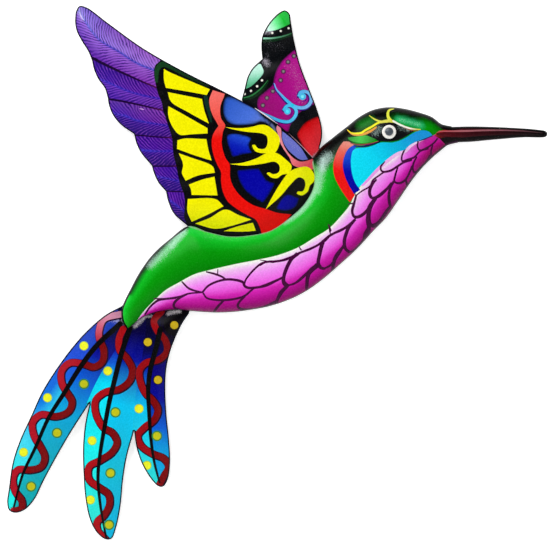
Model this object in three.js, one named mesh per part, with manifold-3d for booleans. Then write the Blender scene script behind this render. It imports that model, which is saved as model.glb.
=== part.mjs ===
// A hummingbird wall ornament of pressed, enamelled steel sheet, riveted in layers and hung on a wire loop.
//
// The bird is drawn on the XY plane, in millimetres from the lower left of the drawing, with Z as the
// distance from the wall. The last group turns it upright: the wall is y = 0, the painted side faces -Y,
// the beak points along +X, +Z is up, and the origin is the nail's place on the wall.

import * as THREE from "three";
import { mergeVertices } from "three/addons/utils/BufferGeometryUtils.js";
import Module from "manifold-3d";

const wasm = await Module();
wasm.setup();

// The bird's reach, from the tail's left edge to the beak's tip and from the tail's foot to the wing's tip
const LENGTH = 324.2;
const HEIGHT = 320.4;

// Sheet metal and the layers, counted out from the wall
const SHEET = 1.0;
const LAYER_GAP = 0.3;
const FAR_WING_BACK = 3.2;
const NEAR_LAYER_BACK = FAR_WING_BACK + SHEET + LAYER_GAP;
const BODY_BACK = NEAR_LAYER_BACK + SHEET + LAYER_GAP;

// Pressed relief of the flat sheets: how far they rise, how wide the slope at their edges is, and the
// grooves between feathers, narrow on the wings and wide and deep on the tail
const NEAR_WING_RISE = 4.0;
const FAR_WING_RISE = 3.4;
const TAIL_RISE = 4.0;
const SLOPE_WIDTH = 15;
const WING_GROOVE_DEPTH = 1.5;
const WING_GROOVE_WIDTH = 5;
const TAIL_GROOVE_DEPTH = 3.0;
const TAIL_GROOVE_WIDTH = 8;

// The domed body: its rise where the section is widest, and how the rise follows the width
const BODY_RISE = 15;
const BODY_WIDEST = 58;
const RISE_POWER = 0.68;
const ARCH_FULLNESS = 0.85;
const BODY_WALL = 1.0;

// The beak, a half-round trough with a flat tongue
const BEAK_RISE = 4.2;
const BEAK_WIDEST = 9.4;
const BEAK_WALL = 0.8;
const BEAK_HOLLOW_LENGTH = 52;
const TONGUE_WIDTH = 8.4;
const TONGUE_BEHIND_RIVET = 7;
const TONGUE_INTO_BEAK = 2.6;

// Rivets. A crown is a list of points on a rounded head, from its rim to its middle, as shares of the
// head's radius and height
const RIVET_SHANK_RADIUS = 1.6;
const RIVET_HOLE_CLEARANCE = 0.3;
const RIVET_HEAD_RADIUS = 3.4;
const RIVET_HEAD_HEIGHT = 1.2;
const RIVET_CROWN = [[1, 0], [1, 0.25], [0.55, 0.82], [0, 1]];
const RIVET_TAIL_RADIUS = 2.6;
const RIVET_TAIL_HEIGHT = 1.0;

// The eye: a white ring held by a round-headed pin, with a washer inside the head
const EYE_STATION = 21.52;
const EYE_ACROSS = 0.416;
const EYE_RING_RADIUS = 4.5;
const EYE_RING_HEIGHT = 1.0;
const EYE_RING_SHOULDER = [0.9, 0.7];
const EYE_PIN_RADIUS = 2.3;
const EYE_PIN_RISE = 1.0;
const EYE_PIN_CROWN = [[1, 0], [0.8, 0.6], [0.4, 0.92], [0, 1]];
const EYE_SHANK_RADIUS = 1.2;
const EYE_WASHER_RADIUS = 3.2;
const EYE_WASHER_HEIGHT = 0.8;
const EYE_PIN_END_RADIUS = 1.9;
const EYE_PIN_END_HEIGHT = 0.7;

// The wire loop on the near wing's back
const WIRE_RADIUS = 1.1;
const WALL_GAP = 0.3;
const LOOP_HALF_WIDTH = 5.5;
const LOOP_LEG = 6;
const FOOT_SPREAD = 9;
const FOOT_LENGTH = 11;

// Rubber bumpers between the sheets and the wall
const BUMPER_RADIUS = 4.5;
const BUMPER_CHAMFER = 0.6;

// How finely curves, sheets and domes are cut into flat faces
const OUTLINE_STEP = 5;
const SHEET_GRID = 4.5;
const ARCH_FACES = 12;
const STATIONS_PER_SPAN = 2;
const ROUND_FACES = 12;
const WIRE_SIDES = 8;
const WIRE_STEPS = 36;
const ARCH_POINTS = 5;

// The land that stays flat beside a piece that lies on a sheet: a raised point of the sheet's grid never
// shares a face with a point that is covered
const FLAT_LAND = Math.SQRT2 * SHEET_GRID;

// How far a cutting shape goes past the faces that it cuts
const CUT_MARGIN = 1;

// The places that follow are in the drawing's millimetres. Matching points on the body's upper and lower
// edge, from the rump to the mouth
const BODY_EDGES = [
  { upper: [75.6, 129.4], lower: [77.3, 129.4] },
  { upper: [73.3, 133.8], lower: [80.1, 131.7] },
  { upper: [72.8, 140.4], lower: [84.0, 135.0] },
  { upper: [74.7, 145.8], lower: [88.8, 137.4] },
  { upper: [78.3, 153.0], lower: [96.0, 139.4] },
  { upper: [84.0, 163.5], lower: [105.6, 140.5] },
  { upper: [91.8, 174.0], lower: [117.0, 139.5] },
  { upper: [102.0, 183.1], lower: [128.4, 138.8] },
  { upper: [113.1, 190.8], lower: [139.2, 139.1] },
  { upper: [124.8, 186.7], lower: [150.0, 140.4] },
  { upper: [137.4, 184.0], lower: [160.8, 142.4] },
  { upper: [150.0, 184.8], lower: [171.6, 145.8] },
  { upper: [162.3, 188.0], lower: [182.4, 150.9] },
  { upper: [173.1, 195.2], lower: [193.2, 158.4] },
  { upper: [182.0, 203.4], lower: [204.0, 167.7] },
  { upper: [187.7, 213.0], lower: [214.2, 177.0] },
  { upper: [188.7, 220.8], lower: [223.8, 187.5] },
  { upper: [187.5, 229.8], lower: [231.6, 195.6] },
  { upper: [192.0, 237.4], lower: [237.6, 204.0] },
  { upper: [199.8, 244.0], lower: [243.3, 212.4] },
  { upper: [208.0, 250.4], lower: [248.4, 219.6] },
  { upper: [216.3, 256.8], lower: [252.9, 225.1] },
  { upper: [224.6, 260.8], lower: [256.8, 229.2] },
  { upper: [234.0, 262.2], lower: [260.4, 232.6] },
  { upper: [243.0, 261.2], lower: [263.1, 234.9] },
  { upper: [252.0, 258.5], lower: [265.2, 236.6] },
  { upper: [259.8, 254.5], lower: [267.0, 238.1] },
  { upper: [264.9, 251.8], lower: [268.8, 239.3] },
];

// Matching points on the beak's edges, from inside the head to the tip
const BEAK_EDGES = [
  { upper: [260.4, 249.3], lower: [260.4, 240.4] },
  { upper: [268.8, 250.2], lower: [268.8, 240.9] },
  { upper: [282.0, 250.6], lower: [282.0, 241.3] },
  { upper: [296.4, 250.3], lower: [296.4, 242.6] },
  { upper: [314.4, 249.4], lower: [314.4, 244.0] },
  { upper: [324.0, 248.3], lower: [324.0, 244.2] },
  { upper: [328.4, 246.8], lower: [328.4, 245.2] },
];

// Outlines of the flat sheets: smooth runs that meet at corners, the root under the body included
const NEAR_WING_LEADING_EDGE = [
  [45.3, 319.2], [47.4, 322.8], [51.6, 322.2], [64.8, 312.6], [85.2, 297.9], [110.4, 283.5],
  [130.2, 273.6], [144.6, 266.2], [154.2, 261.0], [164.0, 254.2], [179.6, 240.5], [187.8, 231.9],
];
const NEAR_WING = [
  NEAR_WING_LEADING_EDGE,
  [[187.8, 231.9], [204.0, 226.8], [206.4, 212.4], [200.4, 198.0], [188.4, 182.4], [171.6, 171.6],
    [147.0, 167.4], [127.2, 171.0], [115.8, 180.0], [112.4, 190.9]],
  [[112.4, 190.9], [104.2, 198.3], [100.8, 205.8], [99.5, 211.6]],
  [[99.5, 211.6], [94.9, 217.0], [92.2, 222.9], [91.1, 226.9]],
  [[91.1, 226.9], [84.2, 235.3], [81.5, 241.4], [80.4, 246.0]],
  [[80.4, 246.0], [72.7, 251.4], [67.9, 257.1], [65.4, 262.9], [64.5, 268.2]],
  [[64.5, 268.2], [62.8, 273.6], [58.9, 279.0], [56.3, 285.0], [55.1, 290.4]],
  [[55.1, 290.4], [52.8, 295.8], [49.0, 301.9], [45.9, 308.0], [45.0, 313.4], [45.3, 319.2]],
];
const FAR_WING = [
  [[166.5, 318.2], [170.7, 320.4], [173.6, 318.6], [174.6, 313.2], [176.7, 301.2], [180.0, 288.0],
    [185.4, 273.6], [190.8, 259.2], [193.2, 249.6], [193.1, 243.0], [191.7, 237.6]],
  [[191.7, 237.6], [198.6, 236.4], [204.0, 228.0], [205.2, 214.8], [201.6, 204.6], [193.2, 201.6],
    [184.8, 210.0], [176.4, 223.2], [165.6, 235.8], [157.2, 247.8], [150.0, 258.6], [145.0, 266.5]],
  [[145.0, 266.5], [146.8, 273.6], [148.5, 280.2], [151.5, 285.6], [157.4, 291.1]],
  [[157.4, 291.1], [156.8, 298.2], [157.4, 304.8], [159.9, 310.2], [162.8, 314.4], [166.5, 318.2]],
];
const TAIL_FAN = [
  [[72.9, 142.7], [63.3, 137.4], [54.0, 129.6], [45.0, 120.0], [34.2, 105.6], [25.2, 91.2],
    [18.6, 76.8], [12.0, 62.4], [7.5, 48.6], [5.3, 33.6], [4.2, 24.6], [5.4, 20.1], [9.0, 18.6],
    [14.7, 20.4], [20.4, 26.4], [26.4, 38.4], [34.2, 52.8], [42.6, 67.2], [53.6, 84.3]],
  [[53.6, 84.3], [51.0, 72.0], [49.8, 58.8], [50.0, 43.2], [51.3, 26.4], [54.0, 14.4], [58.2, 6.6],
    [63.3, 2.4], [66.9, 2.7], [69.6, 9.6], [72.3, 22.8], [73.8, 38.4], [76.2, 52.8], [80.4, 67.8]],
  [[80.4, 67.8], [81.9, 57.6], [85.2, 48.0], [90.6, 39.0], [95.1, 34.5], [98.1, 34.5],
    [100.8, 39.3], [102.0, 49.2], [101.4, 62.4], [99.9, 77.4], [99.2, 92.4], [99.7, 104.4],
    [101.7, 114.0], [105.0, 123.3], [109.5, 132.6], [113.3, 138.3]],
  [[113.3, 138.3], [114.6, 144.6], [108.0, 151.5], [97.0, 154.5], [86.0, 152.5], [77.5, 147.5],
    [72.9, 142.7]],
];

// Pressed grooves between feathers, each from the outline inwards
const NEAR_WING_GROOVES = [
  [[55.1, 290.4], [74.0, 281.0], [93.8, 273.6]],
  [[64.5, 268.2], [80.0, 263.8], [97.6, 260.6]],
  [[80.4, 246.0], [91.0, 244.4], [103.0, 243.7]],
  [[91.1, 226.9], [106.4, 226.9]],
  [[99.5, 211.6], [111.0, 211.2]],
];
const FAR_WING_GROOVES = [[[157.4, 291.1], [163.0, 290.0], [176.0, 300.0]]];
const TAIL_GROOVES = [
  [[78.6, 125.0], [66.5, 103.5], [53.6, 84.3]],
  [[88.2, 125.4], [84.6, 92.4], [80.4, 67.8]],
];

// From the drawing to the bird's own size
const DRAWN_ENDS = [...TAIL_FAN.flat(), ...NEAR_WING.flat(), ...BEAK_EDGES.map(({ lower }) => lower)];
const drawnReach = (axis) => {
  const along = DRAWN_ENDS.map((point) => point[axis]);
  return Math.max(...along) - Math.min(...along);
};
const toLength = (x) => (x * LENGTH) / drawnReach(0);
const toHeight = (y) => (y * HEIGHT) / drawnReach(1);
const atSize = ([x, y]) => [toLength(x), toHeight(y)];
const placed = ({ x, y, ...rest }) => ({ x: toLength(x), y: toHeight(y), ...rest });
const allPlaced = (places) =>
  Object.fromEntries(Object.entries(places).map(([name, place]) => [name, placed(place)]));

// The nail's place on the wall
const NAIL = placed({ x: 138, y: 240 });

// Where each rivet goes, and the layers it holds to the body
const RIVETS = allPlaced({
  rivet_near_wing_rear: { x: 135.0, y: 176.5, back: NEAR_LAYER_BACK },
  rivet_near_wing_front: { x: 173.5, y: 184.0, back: NEAR_LAYER_BACK },
  rivet_neck_upper: { x: 196.0, y: 226.5, back: FAR_WING_BACK },
  rivet_neck_lower: { x: 196.5, y: 212.0, back: FAR_WING_BACK },
  rivet_tail_left: { x: 85.0, y: 144.8, back: NEAR_LAYER_BACK },
  rivet_tail_right: { x: 102.0, y: 147.0, back: NEAR_LAYER_BACK },
});
const BEAK_RIVET = placed({ x: 251.5, y: 244.6 });

const BUMPERS = allPlaced({
  bumper_wing_tip: { x: 70, y: 297, sheet: "near_wing" },
  bumper_far_wing: { x: 173, y: 284, sheet: "far_wing" },
  bumper_tail_left: { x: 22, y: 52, sheet: "tail_fan" },
  bumper_tail_centre: { x: 62, y: 32, sheet: "tail_fan" },
});

// Flat lugs on the body's rim that the rivets pass through, cut to the dome's outline
const LUGS = {
  rear: [[125, 190], [143, 190], [142, 170.5], [128, 170.5]],
  front: [[158, 192], [180, 202], [182, 182], [170, 176.5]],
  neck: [[183, 236], [202.5, 233], [203.5, 207], [183, 204]],
  tail: [[70, 141], [84, 128], [118, 136], [108, 153], [86, 151]],
  throat: [[245.5, 250.5], [257.5, 250.5], [259.5, 229], [251.5, 221]],
};

const FINISH = {
  body: { color: 0x2f9a3c, roughness: 0.35, metalness: 0.3 },
  near_wing: { color: 0x5b2ba6, roughness: 0.35, metalness: 0.3 },
  far_wing: { color: 0xb01f8c, roughness: 0.35, metalness: 0.3 },
  tail: { color: 0x1477c9, roughness: 0.35, metalness: 0.3 },
  beak: { color: 0x3a0d10, roughness: 0.3, metalness: 0.3 },
  white: { color: 0xf2f2ee, roughness: 0.3, metalness: 0.1 },
  grey: { color: 0x7d8388, roughness: 0.3, metalness: 0.6 },
  steel: { color: 0xa9adb0, roughness: 0.4, metalness: 0.9 },
  rubber: { color: 0x26282a, roughness: 0.8, metalness: 0.0 },
};

// Solids: from a geometry to a solid that can be joined and cut, and back to a named mesh

function toSolid(geometry) {
  const bare = geometry.index ? geometry.toNonIndexed() : geometry.clone();
  bare.deleteAttribute("normal");
  bare.deleteAttribute("uv");
  const merged = mergeVertices(bare, 1e-4);
  return new wasm.Manifold(
    new wasm.Mesh({
      numProp: 3,
      vertProperties: merged.attributes.position.array,
      triVerts: new Uint32Array(merged.index.array),
    }),
  );
}

function toMesh(name, shape, finish) {
  let geometry = shape;
  if (!shape.isBufferGeometry) {
    const { vertProperties, triVerts } = shape.getMesh();
    geometry = new THREE.BufferGeometry();
    geometry.setAttribute("position", new THREE.BufferAttribute(vertProperties, 3));
    geometry.setIndex(new THREE.BufferAttribute(triVerts, 1));
    geometry.computeVertexNormals();
  }
  const mesh = new THREE.Mesh(geometry, new THREE.MeshStandardMaterial(finish));
  mesh.name = name;
  return mesh;
}

function geometryFrom(points, triangles) {
  const geometry = new THREE.BufferGeometry();
  geometry.setAttribute("position", new THREE.Float32BufferAttribute(points.flat(), 3));
  geometry.setIndex(triangles.flat());
  return geometry;
}

function prism(polygon, from, to) {
  const shape = new THREE.Shape(polygon.map(([x, y]) => new THREE.Vector2(x, y)));
  const geometry = new THREE.ExtrudeGeometry(shape, { depth: to - from, bevelEnabled: false });
  return toSolid(geometry.translate(0, 0, from));
}

// A turned piece about Z: the profile is a list of [radius, z] that starts and ends on the axis
function turned(profile) {
  const points = profile.map(([radius, z]) => new THREE.Vector2(radius, z));
  return new THREE.LatheGeometry(points, ROUND_FACES).rotateX(Math.PI / 2);
}

function pin({ x, y }, radius, from, to) {
  const profile = [[0, from], [radius, from], [radius, to], [0, to]];
  return toSolid(turned(profile).translate(x, y, 0));
}

// Plane geometry: smooth outlines, distances and insides

function smoothRun(points) {
  const through = points.map((point) => new THREE.Vector3(...atSize(point), 0));
  const curve = new THREE.CatmullRomCurve3(through, false, "centripetal");
  const parts = Math.max(1, Math.round(curve.getLength() / OUTLINE_STEP));
  return curve.getSpacedPoints(parts).map((p) => [p.x, p.y]);
}

function smoothOutline(runs) {
  return runs.flatMap((run) => smoothRun(run).slice(0, -1));
}

function segmentDistance([x, y], [ax, ay], [bx, by]) {
  const along = ((x - ax) * (bx - ax) + (y - ay) * (by - ay)) / ((bx - ax) ** 2 + (by - ay) ** 2);
  const t = THREE.MathUtils.clamp(along, 0, 1);
  return Math.hypot(x - ax - t * (bx - ax), y - ay - t * (by - ay));
}

function pathDistance(point, path) {
  let least = Infinity;
  for (let i = 1; i < path.length; i++)
    least = Math.min(least, segmentDistance(point, path[i - 1], path[i]));
  return least;
}

function isInside([x, y], polygon) {
  let inside = false;
  polygon.forEach(([ax, ay], i) => {
    const [bx, by] = polygon[(i + 1) % polygon.length];
    if (ay > y !== by > y && x < ax + ((y - ay) * (bx - ax)) / (by - ay)) inside = !inside;
  });
  return inside;
}

// Domes: arched sections between two matching edges, on a flat back

function edgeCurves(edges) {
  const curveOf = (side) => {
    const points = edges.map((pair) => new THREE.Vector3(...atSize(pair[side]), 0));
    return new THREE.CatmullRomCurve3(points, false, "centripetal");
  };
  return { upper: curveOf("upper"), lower: curveOf("lower"), spans: edges.length - 1 };
}

// One section: its two ends on the plane and its rise
function sectionAt(curves, station, riseOf) {
  const upper = curves.upper.getPoint(station / curves.spans);
  const lower = curves.lower.getPoint(station / curves.spans);
  return { upper, lower, rise: riseOf(upper.distanceTo(lower)) };
}

function sectionPoint({ upper, lower, rise }, across, back) {
  const angle = Math.PI * across;
  const along = (1 - Math.cos(angle)) / 2;
  const lift = rise * Math.pow(Math.max(Math.sin(angle), 0), ARCH_FULLNESS);
  return [
    THREE.MathUtils.lerp(upper.x, lower.x, along),
    THREE.MathUtils.lerp(upper.y, lower.y, along),
    back + lift,
  ];
}

// The same section drawn in by the wall, for the hollow
function insetSection({ upper, lower, rise }, wall) {
  const inward = lower.clone().sub(upper).setLength(wall);
  return { upper: upper.clone().add(inward), lower: lower.clone().sub(inward), rise: rise - wall };
}

// A closed solid through the sections; skirt is how far it goes on behind the arch, towards the wall
function domeSolid(sections, back, skirt = 0) {
  const rings = sections.map((section) => {
    const ring = [];
    for (let i = 0; i <= ARCH_FACES; i++) ring.push(sectionPoint(section, i / ARCH_FACES, back));
    if (skirt > 0) {
      ring.unshift([section.upper.x, section.upper.y, back - skirt]);
      ring.push([section.lower.x, section.lower.y, back - skirt]);
    }
    return ring;
  });
  const size = rings[0].length;
  const triangles = [];
  for (let r = 0; r + 1 < rings.length; r++)
    for (let i = 0; i < size; i++) {
      const next = (i + 1) % size;
      const here = r * size;
      const there = here + size;
      triangles.push([here + i, here + next, there + next], [here + i, there + next, there + i]);
    }
  const last = (rings.length - 1) * size;
  for (let i = 1; i + 1 < size; i++) {
    triangles.push([0, i + 1, i]);
    triangles.push([last, last + i, last + i + 1]);
  }
  return toSolid(geometryFrom(rings.flat(), triangles));
}

const bodyCurves = edgeCurves(BODY_EDGES);
const bodyRise = (width) => BODY_RISE * Math.pow(width / BODY_WIDEST, RISE_POWER);
const bodySection = (station) => sectionAt(bodyCurves, station, bodyRise);

const beakCurves = edgeCurves(BEAK_EDGES);
const beakRise = (width) => (BEAK_RISE * width) / BEAK_WIDEST;

function stationsBetween(first, last) {
  const count = Math.round((last - first) * STATIONS_PER_SPAN);
  return Array.from({ length: count + 1 }, (_, i) => first + ((last - first) * i) / count);
}

const bodyOutline = [
  ...stationsBetween(0, bodyCurves.spans).map((s) => bodyCurves.upper.getPoint(s / bodyCurves.spans)),
  ...stationsBetween(0, bodyCurves.spans)
    .reverse()
    .map((s) => bodyCurves.lower.getPoint(s / bodyCurves.spans)),
].map((p) => [p.x, p.y]);

// Pressed sheets: flat under what covers them, and raised elsewhere, with grooves between the feathers

const nearWingOutline = smoothOutline(NEAR_WING);
const farWingOutline = smoothOutline(FAR_WING);
const tailOutline = smoothOutline(TAIL_FAN);

function pressedSheet({ outline, back, rise, covers, grooves, grooveDepth, grooveWidth }) {
  const fromPolygon = (point, polygon) => pathDistance(point, [...polygon, polygon[0]]);
  const valleys = grooves.map((path) => path.map(atSize));
  const relief = (point) => {
    if (!isInside(point, outline) || covers.some((cover) => isInside(point, cover))) return 0;
    const fromCover = Math.min(...covers.map((cover) => fromPolygon(point, cover))) - FLAT_LAND;
    const fromEdge = Math.min(fromPolygon(point, outline), fromCover);
    const inward = THREE.MathUtils.clamp(fromEdge / SLOPE_WIDTH, 0, 1);
    const slope = 1 - (1 - inward) ** 2;
    const fromValley = Math.min(...valleys.map((path) => pathDistance(point, path)));
    const groove = grooveDepth * Math.exp(-((fromValley / grooveWidth) ** 2));
    return Math.max((rise - groove) * slope, 0);
  };
  return { outline, back, relief };
}

const SHEETS = {
  near_wing: pressedSheet({
    outline: nearWingOutline,
    back: NEAR_LAYER_BACK,
    rise: NEAR_WING_RISE,
    covers: [bodyOutline],
    grooves: NEAR_WING_GROOVES,
    grooveDepth: WING_GROOVE_DEPTH,
    grooveWidth: WING_GROOVE_WIDTH,
  }),
  far_wing: pressedSheet({
    outline: farWingOutline,
    back: FAR_WING_BACK,
    rise: FAR_WING_RISE,
    covers: [bodyOutline, nearWingOutline],
    grooves: FAR_WING_GROOVES,
    grooveDepth: WING_GROOVE_DEPTH,
    grooveWidth: WING_GROOVE_WIDTH,
  }),
  tail_fan: pressedSheet({
    outline: tailOutline,
    back: NEAR_LAYER_BACK,
    rise: TAIL_RISE,
    covers: [bodyOutline],
    grooves: TAIL_GROOVES,
    grooveDepth: TAIL_GROOVE_DEPTH,
    grooveWidth: TAIL_GROOVE_WIDTH,
  }),
};

// A slab that follows the relief over the outline's box, before it is cut to the outline
function reliefSlab({ outline, back, relief }) {
  const box = new THREE.Box2().setFromPoints(outline.map(([x, y]) => new THREE.Vector2(x, y)));
  box.expandByScalar(SHEET_GRID);
  const size = box.getSize(new THREE.Vector2());
  const columns = Math.ceil(size.x / SHEET_GRID);
  const rows = Math.ceil(size.y / SHEET_GRID);
  const layer = (columns + 1) * (rows + 1);
  const points = [];
  for (const lift of [0, SHEET])
    for (let r = 0; r <= rows; r++)
      for (let c = 0; c <= columns; c++) {
        const x = box.min.x + c * SHEET_GRID;
        const y = box.min.y + r * SHEET_GRID;
        points.push([x, y, back + lift + relief([x, y])]);
      }
  const at = (c, r) => r * (columns + 1) + c;
  const triangles = [];
  const quad = (a, b, c, d) => triangles.push([a, b, c], [a, c, d]);
  for (let r = 0; r < rows; r++)
    for (let c = 0; c < columns; c++) {
      quad(at(c, r), at(c, r + 1), at(c + 1, r + 1), at(c + 1, r));
      quad(layer + at(c, r), layer + at(c + 1, r), layer + at(c + 1, r + 1), layer + at(c, r + 1));
    }
  for (let c = 0; c < columns; c++) {
    quad(at(c, 0), at(c + 1, 0), layer + at(c + 1, 0), layer + at(c, 0));
    quad(at(c + 1, rows), at(c, rows), layer + at(c, rows), layer + at(c + 1, rows));
  }
  for (let r = 0; r < rows; r++) {
    quad(at(0, r + 1), at(0, r), layer + at(0, r), layer + at(0, r + 1));
    quad(at(columns, r), at(columns, r + 1), layer + at(columns, r + 1), layer + at(columns, r));
  }
  return toSolid(geometryFrom(points, triangles));
}

function drill(solid, holes, from, to) {
  const radius = RIVET_SHANK_RADIUS + RIVET_HOLE_CLEARANCE;
  return holes.reduce((left, hole) => left.subtract(pin(hole, radius, from, to)), solid);
}

function sheetSolid(sheet) {
  const highest = sheet.back + SHEET + Math.max(NEAR_WING_RISE, FAR_WING_RISE, TAIL_RISE);
  const front = highest + CUT_MARGIN;
  const cut = reliefSlab(sheet).intersect(prism(sheet.outline, 0, front));
  const holes = Object.values(RIVETS).filter(({ x, y }) => isInside([x, y], sheet.outline));
  return drill(cut, holes, 0, front);
}

// The body: a dome hollowed by its wall, open at the back and at the mouth, with lugs on its rim

function bodyShell() {
  const last = bodyCurves.spans;
  const outer = domeSolid(stationsBetween(0, last).map(bodySection), BODY_BACK);
  const inner = stationsBetween(1, last).map((s) => insetSection(bodySection(s), BODY_WALL));
  const mouth = inner.at(-1);
  const forward = mouth.upper.clone().sub(inner.at(-2).upper).setLength(CUT_MARGIN);
  inner.push({
    upper: mouth.upper.clone().add(forward),
    lower: mouth.lower.clone().add(forward),
    rise: mouth.rise,
  });
  let shell = outer.subtract(domeSolid(inner, BODY_BACK, CUT_MARGIN));
  for (const lug of Object.values(LUGS))
    shell = shell.add(prism(lug.map(atSize), BODY_BACK, BODY_BACK + SHEET).intersect(outer));
  const holes = [...Object.values(RIVETS), BEAK_RIVET];
  shell = drill(shell, holes, BODY_BACK - CUT_MARGIN, BODY_BACK + SHEET + CUT_MARGIN);
  const eyeHole = turned([
    [0, -BODY_WALL - CUT_MARGIN],
    [EYE_SHANK_RADIUS + LAYER_GAP, -BODY_WALL - CUT_MARGIN],
    [EYE_SHANK_RADIUS + LAYER_GAP, CUT_MARGIN],
    [0, CUT_MARGIN],
  ]);
  return shell.subtract(toSolid(eyeHole.applyMatrix4(eyePlace())));
}

// The eye's place: its origin on the dome's surface and its Z along the surface's normal
function eyePlace() {
  const pointAt = (station, across) =>
    new THREE.Vector3(...sectionPoint(bodySection(station), across, BODY_BACK));
  const nearby = 0.02;
  const centre = pointAt(EYE_STATION, EYE_ACROSS);
  const alongBody = pointAt(EYE_STATION + nearby, EYE_ACROSS).sub(centre);
  const acrossBody = pointAt(EYE_STATION, EYE_ACROSS - nearby).sub(centre);
  const normal = alongBody.cross(acrossBody).normalize();
  const turn = new THREE.Quaternion().setFromUnitVectors(new THREE.Vector3(0, 0, 1), normal);
  return new THREE.Matrix4().compose(centre, turn, new THREE.Vector3(1, 1, 1));
}

// The points of a head's crown, in radius and height, on a base at the given height
const crown = (shares, radius, base, height) => shares.map(([r, h]) => [r * radius, base + h * height]);

function eyeGroup() {
  const ringBack = LAYER_GAP;
  const ringFront = ringBack + EYE_RING_HEIGHT;
  const bore = EYE_SHANK_RADIUS + LAYER_GAP;
  const ring = turned([
    [bore, ringBack],
    [EYE_RING_RADIUS, ringBack],
    ...crown([EYE_RING_SHOULDER], EYE_RING_RADIUS, ringBack, EYE_RING_HEIGHT),
    [EYE_PIN_RADIUS + LAYER_GAP, ringFront],
    [bore, ringFront],
    [bore, ringBack],
  ]);
  const headBack = ringFront + LAYER_GAP;
  const washerFront = -BODY_WALL - LAYER_GAP;
  const washerBack = washerFront - EYE_WASHER_HEIGHT;
  const endFront = washerBack - LAYER_GAP;
  const pupil = turned([
    [0, endFront - EYE_PIN_END_HEIGHT],
    [EYE_PIN_END_RADIUS, endFront - EYE_PIN_END_HEIGHT],
    [EYE_PIN_END_RADIUS, endFront],
    [EYE_SHANK_RADIUS, endFront],
    [EYE_SHANK_RADIUS, headBack],
    ...crown(EYE_PIN_CROWN, EYE_PIN_RADIUS, headBack, EYE_PIN_RISE),
  ]);
  const washer = turned([
    [bore, washerBack],
    [EYE_WASHER_RADIUS, washerBack],
    [EYE_WASHER_RADIUS, washerFront],
    [bore, washerFront],
    [bore, washerBack],
  ]);
  const group = new THREE.Group();
  group.applyMatrix4(eyePlace());
  group.add(toMesh("eye_ring", ring, FINISH.white));
  group.add(toMesh("eye_pupil", pupil, FINISH.grey));
  group.add(toMesh("eye_washer", washer, FINISH.steel));
  return group;
}

// The beak: a trough that ends solid at its tip, with a tongue that lies on the throat lug

function beakSolid() {
  const section = (station) => sectionAt(beakCurves, station, beakRise);
  const all = stationsBetween(0, beakCurves.spans).map(section);
  const start = all[0].upper.x;
  const hollow = all
    .filter(({ upper }) => upper.x < start + BEAK_HOLLOW_LENGTH)
    .map((one) => insetSection(one, BEAK_WALL));
  const shifted = ({ upper, lower, rise }, by) => ({
    upper: upper.clone().add(by),
    lower: lower.clone().add(by),
    rise,
  });
  hollow.unshift(shifted(hollow[0], new THREE.Vector3(-CUT_MARGIN, 0, 0)));
  const trough = domeSolid(all, BODY_BACK).subtract(domeSolid(hollow, BODY_BACK, CUT_MARGIN));
  const tongueFrom = BEAK_RIVET.x - TONGUE_BEHIND_RIVET;
  const tongueTo = start + TONGUE_INTO_BEAK;
  const below = BEAK_RIVET.y - TONGUE_WIDTH / 2;
  const above = BEAK_RIVET.y + TONGUE_WIDTH / 2;
  const tongueBack = BODY_BACK + SHEET + LAYER_GAP;
  const tongueFront = tongueBack + BEAK_WALL;
  const plan = [[tongueFrom, below], [tongueTo, below], [tongueTo, above], [tongueFrom, above]];
  const tongue = prism(plan, tongueBack, tongueFront);
  return drill(trough.add(tongue), [BEAK_RIVET], tongueBack - CUT_MARGIN, tongueFront + CUT_MARGIN);
}

// Rivets: a round head behind the stack, a shank, and a set end in front of it

function rivet({ x, y }, back, front) {
  const headFront = back - LAYER_GAP;
  const tailBack = front + LAYER_GAP;
  return turned([
    ...crown(RIVET_CROWN, RIVET_HEAD_RADIUS, headFront, -RIVET_HEAD_HEIGHT).reverse(),
    [RIVET_SHANK_RADIUS, headFront],
    [RIVET_SHANK_RADIUS, tailBack],
    [RIVET_TAIL_RADIUS, tailBack],
    [RIVET_TAIL_RADIUS, tailBack + RIVET_TAIL_HEIGHT],
    [0, tailBack + RIVET_TAIL_HEIGHT],
  ]).translate(x, y, 0);
}

// The hanging loop: a bent wire whose feet lie along the near wing's back

function hangerLoop() {
  const sheet = SHEETS.near_wing;
  const footDepth = sheet.back + sheet.relief([NAIL.x, NAIL.y]) - LAYER_GAP - WIRE_RADIUS;
  const archDepth = WALL_GAP + WIRE_RADIUS;
  const archRadius = LOOP_HALF_WIDTH;
  const archCentre = NAIL.y + WIRE_RADIUS - archRadius;
  const footTop = archCentre - LOOP_LEG;
  const arch = Array.from({ length: ARCH_POINTS }, (_, i) => {
    const angle = Math.PI * (1 - i / (ARCH_POINTS - 1));
    return new THREE.Vector3(
      NAIL.x + archRadius * Math.cos(angle),
      archCentre + archRadius * Math.sin(angle),
      archDepth,
    );
  });
  const foot = (side) =>
    [1, 0.5, 0].map(
      (part) => new THREE.Vector3(NAIL.x + side * FOOT_SPREAD, footTop - part * FOOT_LENGTH, footDepth),
    );
  const bends = [...foot(-1), ...arch, ...foot(1).reverse()];
  const path = new THREE.CatmullRomCurve3(bends, false, "centripetal");
  const round = new THREE.EllipseCurve(0, 0, WIRE_RADIUS, WIRE_RADIUS).getPoints(WIRE_SIDES);
  return new THREE.ExtrudeGeometry(new THREE.Shape(round), { extrudePath: path, steps: WIRE_STEPS });
}

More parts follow.
